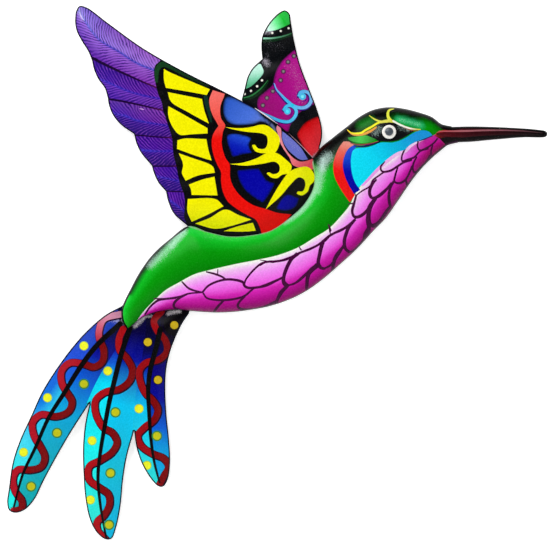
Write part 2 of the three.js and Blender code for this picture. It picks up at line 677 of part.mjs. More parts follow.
// A bumper reaches the lowest part of the sheet's back that lies over it
function bumper({ x, y, sheet }) {
  const { back, relief } = SHEETS[sheet];
  const rim = new THREE.EllipseCurve(x, y, BUMPER_RADIUS, BUMPER_RADIUS).getPoints(ROUND_FACES);
  const top = back + Math.min(...rim.map((p) => relief([p.x, p.y]))) - LAYER_GAP;
  return turned([
    [0, 0],
    [BUMPER_RADIUS - BUMPER_CHAMFER, 0],
    [BUMPER_RADIUS, BUMPER_CHAMFER],
    [BUMPER_RADIUS, top],
    [0, top],
  ]).translate(x, y, 0);
}

// The assembly

const bird = new THREE.Group();
bird.add(toMesh("body_shell", bodyShell(), FINISH.body));
bird.add(toMesh("near_wing", sheetSolid(SHEETS.near_wing), FINISH.near_wing));
bird.add(toMesh("far_wing", sheetSolid(SHEETS.far_wing), FINISH.far_wing));
bird.add(toMesh("tail_fan", sheetSolid(SHEETS.tail_fan), FINISH.tail));
bird.add(toMesh("beak", beakSolid(), FINISH.beak));
bird.add(eyeGroup());
bird.add(toMesh("hanger_loop", hangerLoop(), FINISH.steel));
for (const [name, place] of Object.entries(RIVETS))
  bird.add(toMesh(name, rivet(place, place.back, BODY_BACK + SHEET), FINISH.steel));
const beakStackFront = BODY_BACK + SHEET + LAYER_GAP + BEAK_WALL;
bird.add(toMesh("rivet_beak", rivet(BEAK_RIVET, BODY_BACK, beakStackFront), FINISH.steel));
for (const [name, place] of Object.entries(BUMPERS))
  bird.add(toMesh(name, bumper(place), FINISH.rubber));

// Upright on the wall, with the nail's place at the origin
bird.rotation.x = Math.PI / 2;
bird.position.set(-NAIL.x, 0, -NAIL.y);

const ornament = new THREE.Group();
ornament.add(bird);

export default ornament;
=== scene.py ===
# A hummingbird wall ornament of pressed, enamelled steel sheet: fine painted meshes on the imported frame.
#
# Sizes are in millimetres on the drawing's plane: x to the right and y up from the drawing's lower left
# corner, and depth out from the wall. place() turns them into the frame's metres. The painting is drawn on
# enlarged grids over the photograph, one for each part of the bird; Grid turns them into millimetres.

import math
from dataclasses import dataclass

import bpy
import numpy as np
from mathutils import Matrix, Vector
from mathutils.bvhtree import BVHTree
from mathutils.geometry import delaunay_2d_cdt
from mathutils.kdtree import KDTree


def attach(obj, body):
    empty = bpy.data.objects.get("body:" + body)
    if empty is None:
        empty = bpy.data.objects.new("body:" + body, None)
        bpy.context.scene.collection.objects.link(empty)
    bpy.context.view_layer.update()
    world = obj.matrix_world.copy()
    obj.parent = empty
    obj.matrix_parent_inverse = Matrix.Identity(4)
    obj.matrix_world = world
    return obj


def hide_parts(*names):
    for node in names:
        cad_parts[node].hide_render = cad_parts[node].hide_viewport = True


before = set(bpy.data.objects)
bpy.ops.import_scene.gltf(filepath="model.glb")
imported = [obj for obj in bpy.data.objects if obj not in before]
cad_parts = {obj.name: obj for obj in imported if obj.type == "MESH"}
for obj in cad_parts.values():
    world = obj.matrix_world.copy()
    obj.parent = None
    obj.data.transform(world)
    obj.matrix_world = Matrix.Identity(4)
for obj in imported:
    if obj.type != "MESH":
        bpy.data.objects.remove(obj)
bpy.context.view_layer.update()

MM = 0.001

# The photograph, and the scale of the drawing over it
PHOTO_WIDTH = 550
PHOTO_HEIGHT = 544
PIXEL = 0.6
NAIL = (138.0, 240.0)

# The sheets and their layers, as the frame has them
SHEET = 1.0
LAYER_GAP = 0.3
FAR_WING_BACK = 3.2
NEAR_LAYER_BACK = FAR_WING_BACK + SHEET + LAYER_GAP
BODY_BACK = NEAR_LAYER_BACK + SHEET + LAYER_GAP

NEAR_WING_RISE = 4.0
FAR_WING_RISE = 3.4
TAIL_RISE = 4.0
SLOPE_WIDTH = 15
FLAT_LAND = 2.5
WING_GROOVE = (1.5, 5)
TAIL_GROOVE = (3.0, 8)
SHEET_BLUR = 1.6

BODY_RISE = 15
BODY_WIDEST = 58
RISE_POWER = 0.68
ARCH_FULLNESS = 0.85
BODY_WALL = 1.0
BEAK_RISE = 4.2
BEAK_WIDEST = 9.4
BEAK_WALL = 0.8

# How finely the visible meshes are cut: steps and reaches in millimetres, turns in degrees
OUTLINE_STEP = 1.2
PAINT_STEP = 0.9
SOFT_STEP = 2.0
CURVE_PARTS = 16
SHARP_TURN = 55
SHARP_SCROLL = 70
SHARP_EDGE = 35
FRONT_GRID = 1.7
FRONT_MARGIN = 0.4 * FRONT_GRID
BACK_GRID = 3.5
BACK_MARGIN = 0.5 * BACK_GRID
HEIGHT_GRID = 1.0
TABLE_MARGIN = 3
BELL_REACH = 3
INSET_SHARE = 0.97
RIM_RINGS = (0.12, 0.35, 0.8, 1.6)
DOME_RINGS = (0.06, 0.25, 0.6, 1.0, 1.6)
LOFT_PARTS = (14, 64)
BEAK_LOFT_PARTS = (24, 48)
LATHE_SIDES = 40
WIRE_SIDES = 18
SOLDER_SIDES = 24
HOLE_SIDES = 28
DOT_SIDES = 16
MERGE_DISTANCE = 0.002
BACK_MERGE_DISTANCE = 0.05 * MERGE_DISTANCE
PATCH_MARGIN = 0.5
EASE = 0.25
EDGE_ROLL = 0.25
EDGE_LINE = 0.8

# Matching points on the body's upper and lower edge, from the rump to the mouth
BODY_UPPER = [
    (75.6, 129.4), (73.3, 133.8), (72.8, 140.4), (74.7, 145.8), (78.3, 153.0), (84.0, 163.5),
    (91.8, 174.0), (102.0, 183.1), (113.1, 190.8), (124.8, 187.2), (137.4, 184.6), (150.0, 185.2),
    (162.3, 188.0), (173.1, 195.2), (182.0, 203.4), (187.7, 213.0), (188.7, 220.8), (187.5, 229.8),
    (192.0, 237.4), (199.8, 244.0), (208.0, 250.4), (216.3, 256.8), (224.6, 260.8), (234.0, 262.2),
    (243.0, 261.2), (252.0, 258.9), (259.4, 256.2), (264.9, 252.1), (271.0, 250.65),
]
BODY_LOWER = [
    (77.3, 129.4), (80.1, 131.7), (84.0, 135.0), (88.8, 137.4), (96.0, 139.4), (105.6, 140.5),
    (117.0, 139.5), (128.4, 138.8), (139.2, 139.1), (150.0, 140.4), (160.8, 142.4), (171.6, 145.8),
    (182.4, 150.9), (193.2, 158.4), (204.0, 167.7), (214.2, 177.0), (223.8, 187.5), (231.6, 195.6),
    (237.6, 204.0), (243.3, 212.4), (248.4, 219.6), (252.9, 225.1), (256.8, 229.2), (260.4, 232.6),
    (263.1, 234.9), (265.2, 236.6), (267.0, 238.1), (268.8, 239.3), (275.0, 240.9),
]
BEAK_UPPER = [
    (260.4, 249.3), (268.8, 250.2), (282.0, 250.6), (296.4, 250.3), (314.4, 249.4), (324.0, 248.5),
    (327.2, 247.9), (328.35, 246.9),
]
BEAK_LOWER = [
    (260.4, 240.4), (268.8, 240.9), (282.0, 241.3), (296.4, 242.6), (314.4, 244.0), (324.0, 243.9),
    (327.2, 244.2), (328.35, 245.1),
]

# Outlines of the flat sheets: smooth runs that meet at corners
NEAR_WING = [
    [(45.3, 319.2), (47.4, 322.8), (51.6, 322.2), (64.8, 312.6), (85.2, 297.9), (110.4, 283.5),
     (130.2, 273.6), (144.6, 266.2), (154.2, 261.0), (164.0, 254.2), (179.6, 240.5), (187.8, 231.9)],
    [(187.8, 231.9), (204.0, 226.8), (206.4, 212.4), (200.4, 198.0), (188.4, 182.4), (171.6, 171.6),
     (147.0, 167.4), (127.2, 171.0), (115.8, 180.0), (112.4, 190.9)],
    [(112.4, 190.9), (104.2, 198.3), (100.8, 205.8), (99.5, 211.6)],
    [(99.5, 211.6), (94.9, 217.0), (92.2, 222.9), (91.1, 226.9)],
    [(91.1, 226.9), (84.2, 235.3), (81.5, 241.4), (80.4, 246.0)],
    [(80.4, 246.0), (72.7, 251.4), (67.9, 257.1), (65.4, 262.9), (64.5, 268.2)],
    [(64.5, 268.2), (62.8, 273.6), (58.9, 279.0), (56.3, 285.0), (55.1, 290.4)],
    [(55.1, 290.4), (52.8, 295.8), (49.0, 301.9), (45.9, 308.0), (45.0, 313.4), (45.3, 319.2)],
]
FAR_WING = [
    [(166.5, 318.2), (170.7, 320.4), (173.6, 318.6), (174.6, 313.2), (176.7, 301.2), (180.0, 288.0),
     (185.4, 273.6), (190.8, 259.2), (193.2, 249.6), (193.1, 243.0), (191.7, 237.6)],
    [(191.7, 237.6), (198.6, 236.4), (204.0, 228.0), (205.2, 214.8), (201.6, 204.6), (193.2, 201.6),
     (184.8, 210.0), (176.4, 223.2), (165.6, 235.8), (157.2, 247.8), (150.0, 258.6), (145.0, 266.5)],
    [(145.0, 266.5), (146.8, 273.6), (148.5, 280.2), (151.5, 285.6), (157.4, 291.1)],
    [(157.4, 291.1), (156.8, 298.2), (157.4, 304.8), (159.9, 310.2), (162.8, 314.4), (166.5, 318.2)],
]
TAIL_FAN = [
    [(72.9, 142.7), (63.3, 137.4), (54.0, 129.6), (45.0, 120.0), (34.2, 105.6), (25.2, 91.2),
     (18.6, 76.8), (12.0, 62.4), (7.5, 48.6), (5.3, 33.6), (4.2, 24.6), (5.4, 20.1), (9.0, 18.6),
     (14.7, 20.4), (20.4, 26.4), (26.4, 38.4), (34.2, 52.8), (42.6, 67.2), (53.6, 84.3)],
    [(53.6, 84.3), (51.0, 72.0), (49.8, 58.8), (50.0, 43.2), (51.3, 26.4), (54.0, 14.4), (58.2, 6.6),
     (63.3, 2.75), (66.9, 3.1), (69.6, 9.6), (72.3, 22.8), (73.8, 38.4), (76.2, 52.8), (80.4, 67.8)],
    [(80.4, 67.8), (81.9, 57.6), (85.2, 48.0), (90.6, 39.0), (95.1, 34.5), (98.1, 34.5),
     (100.8, 39.3), (102.0, 49.2), (101.4, 62.4), (99.9, 77.4), (99.2, 92.4), (99.7, 104.4),
     (101.7, 114.0), (105.0, 123.3), (109.5, 132.6), (113.3, 138.3)],
    [(113.3, 138.3), (114.6, 144.6), (108.0, 151.5), (97.0, 154.5), (86.0, 152.5), (77.5, 147.5),
     (72.9, 142.7)],
]
NEAR_WING_GROOVES = [
    [(55.1, 290.4), (74.0, 281.0), (93.8, 273.6)],
    [(64.5, 268.2), (80.0, 263.8), (97.6, 260.6)],
    [(80.4, 246.0), (91.0, 244.4), (103.0, 243.7)],
    [(91.1, 226.9), (106.4, 226.9)],
    [(99.5, 211.6), (111.0, 211.2)],
]
FAR_WING_GROOVES = [[(157.4, 291.1), (163.0, 290.0), (176.0, 300.0)]]
TAIL_GROOVES = [
    [(78.6, 125.0), (66.5, 103.5), (53.6, 84.3)],
    [(88.2, 125.4), (84.6, 92.4), (80.4, 67.8)],
]

# Rivets, lugs on the body's rim, and the eye
RIVET_HOLE_RADIUS = 1.9
RIVETS = {
    "rivet_near_wing_rear": (135.0, 176.5),
    "rivet_near_wing_front": (173.5, 184.0),
    "rivet_neck_upper": (196.0, 226.5),
    "rivet_neck_lower": (196.5, 212.0),
    "rivet_tail_left": (85.0, 144.8),
    "rivet_tail_right": (102.0, 147.0),
    "rivet_beak": (251.5, 244.6),
}
# The back of the lowest sheet that a rivet holds, where that isn't the near wing's or the tail's
RIVET_BACKS = {"rivet_neck_upper": FAR_WING_BACK, "rivet_neck_lower": FAR_WING_BACK, "rivet_beak": BODY_BACK}
LUGS = [
    [(125, 190), (143, 190), (142, 170.5), (128, 170.5)],
    [(158, 192), (180, 202), (182, 182), (170, 176.5)],
    [(183, 236), (202.5, 233), (203.5, 207), (183, 204)],
    [(70, 141), (84, 128), (118, 136), (108, 153), (86, 151)],
    [(245.5, 250.5), (257.5, 250.5), (259.5, 229), (251.5, 221)],
]
LUG_CLEARANCE = 0.9
TONGUE = [(244.5, 240.4), (263.0, 240.4), (263.0, 248.8), (244.5, 248.8)]
TONGUE_BACK = BODY_BACK + SHEET + LAYER_GAP
RIVET_SHANK = 1.6
RIVET_HEAD = (3.4, 1.2)
RIVET_TAIL = (2.6, 1.0)
RIVET_RIM = 0.25
RIVET_EASE = 0.15
EYE_STATION = 21.48
EYE_ACROSS = 0.422
EYE_HOLE_RADIUS = 1.5
EYE_RING = (4.25, 1.0)
EYE_PIN = (2.45, 0.88)
EYE_SHANK = 1.2
EYE_WASHER = (3.2, 0.8)
EYE_PIN_END = (1.9, 0.7)
EYE_STEP = 0.02
EYE_EASE = 0.12

# The wire loop that the ornament hangs on, and the bumpers
WALL_GAP = 0.3
WIRE_RADIUS = 1.1
LOOP_HALF_WIDTH = 5.5
LOOP_LEG = 6
FOOT_SPREAD = 9
FOOT_LENGTH = 11
ARCH_POINTS = 9
WIRE_STEP = 0.8
SOLDER = (2.1, 3.4)
BUMPER_RADIUS = 4.5
BUMPER_CHAMFER = 0.6
BUMPER_EASE = 0.3
BUMPERS = {
    "bumper_wing_tip": ((70, 297), "near_wing"),
    "bumper_far_wing": ((173, 284), "far_wing"),
    "bumper_tail_left": ((22, 52), "tail_fan"),
    "bumper_tail_centre": ((62, 32), "tail_fan"),
}


# Places and colours

def place(points, depth):
    """Points on the drawing's plane, at their depths, in the frame's metres."""
    points = np.asarray(points, float)
    out = np.empty((len(points), 3))
    out[:, 0] = (points[:, 0] - NAIL[0]) * MM
    out[:, 1] = -np.asarray(depth) * MM
    out[:, 2] = (points[:, 1] - NAIL[1]) * MM
    return out


def turn(vectors):
    """Vectors in drawing x, y and depth, turned into the frame."""
    return np.stack([vectors[:, 0], -vectors[:, 2], vectors[:, 1]], axis=1)


def linear(colour):
    """A colour written as #rrggbb, in linear light."""
    value = np.array([int(colour[i:i + 2], 16) / 255 for i in (1, 3, 5)])
    return np.where(value <= 0.04045, value / 12.92, ((value + 0.055) / 1.055) ** 2.4)


@dataclass
class Grid:
    """An enlarged grid over the photograph: the pixel at its corner, and its steps to a pixel."""
    left: float
    top: float
    steps: float

    def mm(self, points):
        points = np.asarray(points, float).reshape(-1, 2)
        x = (self.left + points[:, 0] / self.steps) * PIXEL
        y = (PHOTO_HEIGHT - self.top - points[:, 1] / self.steps) * PIXEL
        return np.stack([x, y], axis=1)

    def size(self, steps):
        return np.asarray(steps, float) / self.steps * PIXEL


# Curves on the plane

def curve_at(points, stations):
    """The centripetal Catmull-Rom curve through the points, at stations counted in points."""
    p = np.asarray(points, float)
    p = np.vstack([2 * p[0] - p[1], p, 2 * p[-1] - p[-2]])
    span = np.clip(np.floor(stations).astype(int), 0, len(points) - 2)
    t = (np.asarray(stations) - span)[:, None]
    p0, p1, p2, p3 = (p[span + k] for k in range(4))
    reach = [np.sqrt(np.linalg.norm(b - a, axis=1))[:, None] for a, b in ((p0, p1), (p1, p2), (p2, p3))]
    d0, d1, d2 = (np.maximum(r, 1e-6) for r in reach)
    leave = ((p1 - p0) / d0 - (p2 - p0) / (d0 + d1) + (p2 - p1) / d1) * d1
    arrive = ((p2 - p1) / d1 - (p3 - p1) / (d1 + d2) + (p3 - p2) / d2) * d1
    a = 2 * p1 - 2 * p2 + leave + arrive
    b = -3 * p1 + 3 * p2 - 2 * leave - arrive
    return ((a * t + b) * t + leave) * t + p1


def even_steps(points, step):
    """The same path with its points an even step apart."""
    points = np.asarray(points, float)
    along = np.concatenate([[0], np.cumsum(np.linalg.norm(np.diff(points, axis=0), axis=1))])
    count = max(1, round(along[-1] / step))
    at = np.linspace(0, along[-1], count + 1)
    return np.stack([np.interp(at, along, points[:, k]) for k in range(points.shape[1])], axis=1)


def smooth(points, step):
    """A smooth curve through the points, with its own points an even step apart."""
    if len(points) < 3:
        return even_steps(points, step)
    stations = np.linspace(0, len(points) - 1, CURVE_PARTS * (len(points) - 1) + 1)
    return even_steps(curve_at(points, stations), step)


def smooth_ring(points, step, sharp):
    """A closed curve through the points, with a corner where it turns by more than the sharp angle."""
    points = np.asarray(points, float)
    arrive = points - np.roll(points, 1, axis=0)
    leave = np.roll(points, -1, axis=0) - points
    turning = arrive[:, 0] * leave[:, 1] - arrive[:, 1] * leave[:, 0]
    turn_angle = np.degrees(np.abs(np.arctan2(turning, np.sum(arrive * leave, axis=1))))
    corners = np.flatnonzero(turn_angle > sharp)
    if not len(corners):
        wrapped = np.vstack([points[-2:], points, points[:3]])
        stations = np.linspace(2, len(points) + 2, CURVE_PARTS * len(points) + 1)
        return even_steps(curve_at(wrapped, stations), step)[:-1]
    turned = np.roll(points, -corners[0], axis=0)
    ends = [*(corners - corners[0]), len(points)]
    turned = np.vstack([turned, turned[:1]])
    runs = [turned[start:end + 1] for start, end in zip(ends, ends[1:])]
    return np.vstack([smooth(run, step)[:-1] for run in runs])


def outline_of(runs):
    return np.vstack([smooth(run, OUTLINE_STEP)[:-1] for run in runs])


def inside(points, ring):
    """Which points lie within the closed ring."""
    return within_edges(points, ring, np.roll(ring, -1, axis=0))


def within_edges(points, starts, ends):
    """Which points lie within closed edges, given by where each starts and ends."""
    x, y = points[:, 0], points[:, 1]
    found = np.zeros(len(points), bool)
    for (ax, ay), (bx, by) in zip(starts, ends):
        if ay != by:
            crosses = (ay > y) != (by > y)
            found ^= crosses & (x < ax + (y - ay) * (bx - ax) / (by - ay))
    return found


def distance(points, path, closed=False, radius=None):
    """Least distance from each point to the path, less the path's radius where one is given."""
    points = np.asarray(points, float)
    path = np.asarray(path, float)
    if radius is None:
        radius = np.zeros(len(path))
    if closed:
        path = np.vstack([path, path[:1]])
        radius = np.append(radius, radius[0])
    least = np.full(len(points), np.inf)
    for i in range(len(path) - 1):
        a, way = path[i], path[i + 1] - path[i]
        t = np.clip((points - a) @ way / max(way @ way, 1e-12), 0, 1)
        gap = np.hypot(*(points - a - t[:, None] * way).T) - radius[i] - t * (radius[i + 1] - radius[i])
        np.minimum(least, gap, out=least)
    return least


def inset_paths(ring, depth):
    """The ring moved inwards by the depth, and its edges that don't cross others at corners."""
    ahead = np.roll(ring, -1, axis=0) - np.roll(ring, 1, axis=0)
    inward = np.stack([-ahead[:, 1], ahead[:, 0]], axis=1)
    inward /= np.maximum(np.linalg.norm(inward, axis=1), 1e-9)[:, None]
    if area_of(ring) < 0:
        inward = -inward
    moved = ring + inward * depth
    kept = inside(moved, ring) & (distance(moved, ring, closed=True) > INSET_SHARE * depth)
    edges = [(i, (i + 1) % len(ring)) for i in range(len(ring))]
    return moved, [(i, j) for i, j in edges if kept[i] and kept[j]]


def area_of(ring):
    x, y = ring[:, 0], ring[:, 1]
    return 0.5 * np.sum(x * np.roll(y, -1) - np.roll(x, -1) * y)


# Paint: each patch has closed lines that bound it, a test for its inside, and a colour at each point. It may
# have a painted highlight, laid on as pale speckle, and a phase that numbers the barbs of a feather.

@dataclass
class Patch:
    rings: list
    covers: object
    tint: object
    painted_highlight: object = None
    phase: object = None


def blend(shares, stops):
    """Colours at the shares, between stops of (share, colour)."""
    marks = [mark for mark, _ in stops]
    colours = np.array([linear(colour) for _, colour in stops])
    return np.stack([np.interp(shares, marks, colours[:, k]) for k in range(3)], axis=1)


def plain(colour):
    return lambda points: blend(np.zeros(len(points)), [(0, colour)])


def ramp(grid, start, end, *stops):
    """A colour that changes from start to end, through stops of (share, colour)."""
    start, end = grid.mm([start, end])
    way = (end - start) / ((end - start) @ (end - start))
    return lambda points: blend((points - start) @ way, stops)


def halo(grid, path, *stops):
    """A colour that changes with the distance from a path, through stops of (grid steps, colour)."""
    middle = smooth(grid.mm(path), PAINT_STEP)
    stops = [(float(grid.size(steps)), colour) for steps, colour in stops]
    return lambda points: blend(distance(points, middle), stops)


def between(first, second, *stops):
    """A colour that changes from one path to another."""
    def tint(points):
        gap = distance(points, first)
        return blend(gap / (gap + distance(points, second) + 1e-6), stops)
    return tint


def painted_highlight_along(grid, *clouds):
    """A painted highlight, laid on as pale speckle round paths: each cloud is a path, its reach in grid steps
    and its amount.
    """
    sized = [
        (smooth(grid.mm(path), SOFT_STEP), float(grid.size(reach)), amount) for path, reach, amount in clouds
    ]

    def painted_highlight(points):
        total = np.zeros(len(points))
        for middle, reach, amount in sized:
            near = np.clip(1 - distance(points, middle) / reach, 0, 1)
            total = np.maximum(total, amount * near * near * (3 - 2 * near))
        return total
    return painted_highlight


def as_tint(tint, grid=None):
    """A tint from a plain colour, from a ramp's start, end and stops on a grid, or as it is."""
    if isinstance(tint, str):
        return plain(tint)
    if isinstance(tint, tuple):
        return ramp(grid, *tint)
    return tint


def region(grid, tint, points, painted_highlight=None, phase=None, sharp=SHARP_TURN):
    """A painted field with a smooth border. A turn sharper than the given angle is a corner."""
    ring = smooth_ring(grid.mm(points), PAINT_STEP, sharp)
    return Patch([ring], lambda at: inside(at, ring), as_tint(tint, grid), painted_highlight, phase)


def soft_region(grid, tint, points, dark, reach, painted_highlight=None):
    """A painted field that darkens towards its border, over a reach in millimetres."""
    patch = region(grid, tint, points, painted_highlight)
    ring, full = patch.rings[0], patch.tint

    def shaded(at):
        share = np.clip(distance(at, ring, closed=True) / reach, 0, 1)[:, None]
        return linear(dark) * (1 - share) + full(at) * share
    patch.tint = shaded
    return patch


def lit_near(tint, grid, path, colour, reach):
    """A painted highlight: a tint that turns to another colour close to a path."""
    middle = smooth(grid.mm(path), SOFT_STEP)
    size = float(grid.size(reach))

    def lit(points):
        share = np.clip(1 - distance(points, middle) / size, 0, 1)[:, None]
        return tint(points) * (1 - share) + linear(colour) * share
    return lit


def stroke(grid, tint, widths, points, painted_highlight=None):
    """A painted line whose width runs through the given widths, evenly spaced along it."""
    return band(smooth(grid.mm(points), PAINT_STEP), grid.size(widths), as_tint(tint, grid), painted_highlight)


def strokes(grid, table):
    """Painted lines from a table of (tint, widths, points)."""
    return [stroke(grid, tint, widths, points) for tint, widths, points in table]


def band(middle, widths, tint, painted_highlight=None):
    """A painted line along a path in millimetres."""
    widths = np.atleast_1d(widths)
    shares = np.linspace(0, 1, len(widths))
    radius = np.interp(np.linspace(0, 1, len(middle)), shares, widths) / 2
    ahead = np.gradient(middle, axis=0)
    ahead /= np.maximum(np.linalg.norm(ahead, axis=1), 1e-9)[:, None]
    side = np.stack([-ahead[:, 1], ahead[:, 0]], axis=1) * radius[:, None]
    tip = middle[-1] + ahead[-1] * radius[-1]
    tail = middle[0] - ahead[0] * radius[0]
    ring = np.vstack([tail, middle + side, tip, (middle - side)[::-1]])
    return Patch([ring], lambda at: distance(at, middle, radius=radius) < 0, as_tint(tint), painted_highlight)


def dots(grid, tint, radius, *centres):
    size = float(grid.size(radius))
    rings = [circle(centre, size, DOT_SIDES) for centre in grid.mm(centres)]
    return [Patch([ring], lambda at, ring=ring: inside(at, ring), as_tint(tint)) for ring in rings]


def ground(tint, painted_highlight=None):
    """The coat that lies under all other patches."""
    return Patch([], lambda at: np.ones(len(at), bool), as_tint(tint), painted_highlight)


def edge_line(outline, width, tint):
    """A painted line along the outline. The rings of the sheet's rim give it a clean border."""
    return Patch([], lambda at: distance(at, outline, closed=True) < width, as_tint(tint))


def circle(centre, radius, sides=HOLE_SIDES):
    angles = np.linspace(0, math.tau, sides, endpoint=False)
    return np.asarray(centre) + radius * np.stack([np.cos(angles), np.sin(angles)], axis=1)


# Heights: how far a point of each sheet stands out of the sheet's own plane

class PressedSheet:
    """A flat sheet pressed from behind: its relief on a fine grid, a little softened."""

    def __init__(self, outline, rise, covers, grooves, groove):
        low = outline.min(axis=0) - TABLE_MARGIN
        high = outline.max(axis=0) + TABLE_MARGIN
        self.low = low
        self.shape = np.ceil((high - low) / HEIGHT_GRID).astype(int) + 1
        xs = low[0] + HEIGHT_GRID * np.arange(self.shape[0])
        ys = low[1] + HEIGHT_GRID * np.arange(self.shape[1])
        points = np.stack(np.meshgrid(xs, ys, indexing="ij"), axis=-1).reshape(-1, 2)
        bare = inside(points, outline)
        from_edge = distance(points, outline, closed=True)
        for cover in covers:
            bare &= ~inside(points, cover)
            from_edge = np.minimum(from_edge, distance(points, cover, closed=True) - FLAT_LAND)
        inward = np.clip(from_edge / SLOPE_WIDTH, 0, 1)
        valley = np.min([distance(points, path) for path in grooves], axis=0)
        depth, width = groove
        relief = (rise - depth * np.exp(-(valley / width) ** 2)) * (1 - (1 - inward) ** 2)
        self.relief = softened(np.where(bare, np.maximum(relief, 0), 0).reshape(self.shape), SHEET_BLUR)
        self.slopes = np.gradient(self.relief, HEIGHT_GRID)

    def sample(self, table, points):
        at = (points - self.low) / HEIGHT_GRID
        cell = np.clip(np.floor(at).astype(int), 0, self.shape - 2)
        u, v = (at - cell).T
        i, j = cell.T
        near = table[i, j] * (1 - u) + table[i + 1, j] * u
        far = table[i, j + 1] * (1 - u) + table[i + 1, j + 1] * u
        return near * (1 - v) + far * v

    def surface(self, points):
        """Height and normal of the sheet's front, above its flat front plane."""
        height = self.sample(self.relief, points)
        normal = np.stack([-self.sample(s, points) for s in self.slopes] + [np.ones(len(points))], axis=1)
        return height, normal / np.linalg.norm(normal, axis=1)[:, None]


def softened(table, spread):
    """The table blurred by a bell curve of the given spread in millimetres."""
    reach = int(BELL_REACH * spread / HEIGHT_GRID)
    bell = np.exp(-0.5 * (np.arange(-reach, reach + 1) * HEIGHT_GRID / spread) ** 2)
    bell /= bell.sum()
    for axis in (0, 1):
        table = np.apply_along_axis(lambda row: np.convolve(row, bell, mode="same"), axis, table)
    return table


# A dome's wall is at most this share of its width, and it is looked up from this depth
THIN_WALL = 0.36
RAY_START = 200.0


class Dome:
    """An arched shell between two matching edges, as a fine loft that is looked up from in front."""

    def __init__(self, upper, lower, rise_of, back, wall, parts=LOFT_PARTS):
        along, across = parts
        stations = np.linspace(0, len(upper) - 1, along * (len(upper) - 1) + 1)
        self.upper, self.lower = np.asarray(upper, float), np.asarray(lower, float)
        self.rise_of, self.back = rise_of, back
        rows = [self.at(stations, np.full(len(stations), share)) for share in np.linspace(0, 1, across + 1)]
        grid = np.stack(rows, axis=1)
        ahead = np.gradient(grid, axis=0)
        aside = np.gradient(grid, axis=1)
        normal = np.cross(ahead, aside)
        normal /= np.maximum(np.linalg.norm(normal, axis=2), 1e-12)[:, :, None]
        if normal[len(stations) // 2, across // 2, 2] < 0:
            normal = -normal
        widths = np.linalg.norm(grid[:, 0] - grid[:, -1], axis=1)
        walls = np.minimum(wall, THIN_WALL * widths)
        self.points = grid.reshape(-1, 3)
        self.normals = normal.reshape(-1, 3)
        self.walls = np.repeat(walls, across + 1)
        rows, columns = grid.shape[:2]
        number = np.arange(rows * columns).reshape(rows, columns)
        a, b = number[:-1, :-1].ravel(), number[1:, :-1].ravel()
        c, d = number[1:, 1:].ravel(), number[:-1, 1:].ravel()
        self.triangles = np.vstack([np.stack([a, b, c], 1), np.stack([a, c, d], 1)])
        self.tree = BVHTree.FromPolygons(self.points.tolist(), self.triangles.tolist())
        self.rim = np.concatenate([number[:, 0], number[-1, 1:-1], number[::-1, -1], number[0, -2:0:-1]])
        self.outline = self.points[self.rim, :2]

    def at(self, stations, across):
        upper = curve_at(self.upper, stations)
        lower = curve_at(self.lower, stations)
        angle = math.pi * np.asarray(across)
        share = ((1 - np.cos(angle)) / 2)[:, None]
        rise = self.rise_of(np.linalg.norm(upper - lower, axis=1))
        lift = rise * np.maximum(np.sin(angle), 0) ** ARCH_FULLNESS
        plane = upper * (1 - share) + lower * share
        return np.column_stack([plane, self.back + lift])

    def surface(self, points):
        """Depth, normal and wall of the dome at points on the plane."""
        depth = np.zeros(len(points))
        normal = np.zeros((len(points), 3))
        wall = np.zeros(len(points))
        rim = self.points[self.rim]
        for k, (x, y) in enumerate(points):
            _, _, index, _ = self.tree.ray_cast((x, y, RAY_START), (0, 0, -1))
            if index is not None:
                corners = self.triangles[index]
                weights = shares_of((x, y), self.points[corners, :2])
            else:
                gaps = np.hypot(rim[:, 0] - x, rim[:, 1] - y)
                i = int(np.argmin(gaps))
                before, after = (i - 1) % len(rim), (i + 1) % len(rim)
                j = before if gaps[before] < gaps[after] else after
                total = max(gaps[i] + gaps[j], 1e-9)
                corners = self.rim[[i, j]]
                weights = np.array([gaps[j], gaps[i]]) / total
            depth[k] = weights @ self.points[corners, 2]
            normal[k] = weights @ self.normals[corners]
            wall[k] = weights @ self.walls[corners]
        return depth, normal / np.linalg.norm(normal, axis=1)[:, None], wall


def shares_of(point, corners):
    """The weights of a triangle's three corners at a point on the plane."""
    (ax, ay), (bx, by), (cx, cy) = corners
    x, y = point
    whole_area = (by - cy) * (ax - cx) + (cx - bx) * (ay - cy)
    if abs(whole_area) < 1e-12:
        return np.array([1.0, 0.0, 0.0])
    a = ((by - cy) * (x - cx) + (cx - bx) * (y - cy)) / whole_area
    b = ((cy - ay) * (x - cx) + (ax - cx) * (y - cy)) / whole_area
    return np.clip([a, b, 1 - a - b], 0, 1)


# Meshes

def hex_grid(low, high, spacing):
    """Points of a triangular grid over a box."""
    rise = spacing * math.sqrt(3) / 2
    rows = np.arange(low[1], high[1] + rise, rise)
    columns = np.arange(low[0], high[0] + spacing, spacing)
    return np.vstack([
        np.stack([columns + (k % 2) * spacing / 2, np.full(len(columns), y)], axis=1)
        for k, y in enumerate(rows)
    ])


def cut_plane(points, edges, merge=MERGE_DISTANCE):
    """The triangles of a constrained cut of the plane: places, and corners turned anticlockwise."""
    out = delaunay_2d_cdt([Vector(p) for p in points], edges, [], 0, merge, False)
    places = np.array([tuple(v) for v in out[0]])
    corners = np.array(out[2])
    a, b, c = (places[corners[:, k]] for k in range(3))
    area = (b[:, 0] - a[:, 0]) * (c[:, 1] - a[:, 1]) - (c[:, 0] - a[:, 0]) * (b[:, 1] - a[:, 1])
    corners[area < 0] = corners[area < 0][:, ::-1]
    return places, corners[np.abs(area) > 1e-9]


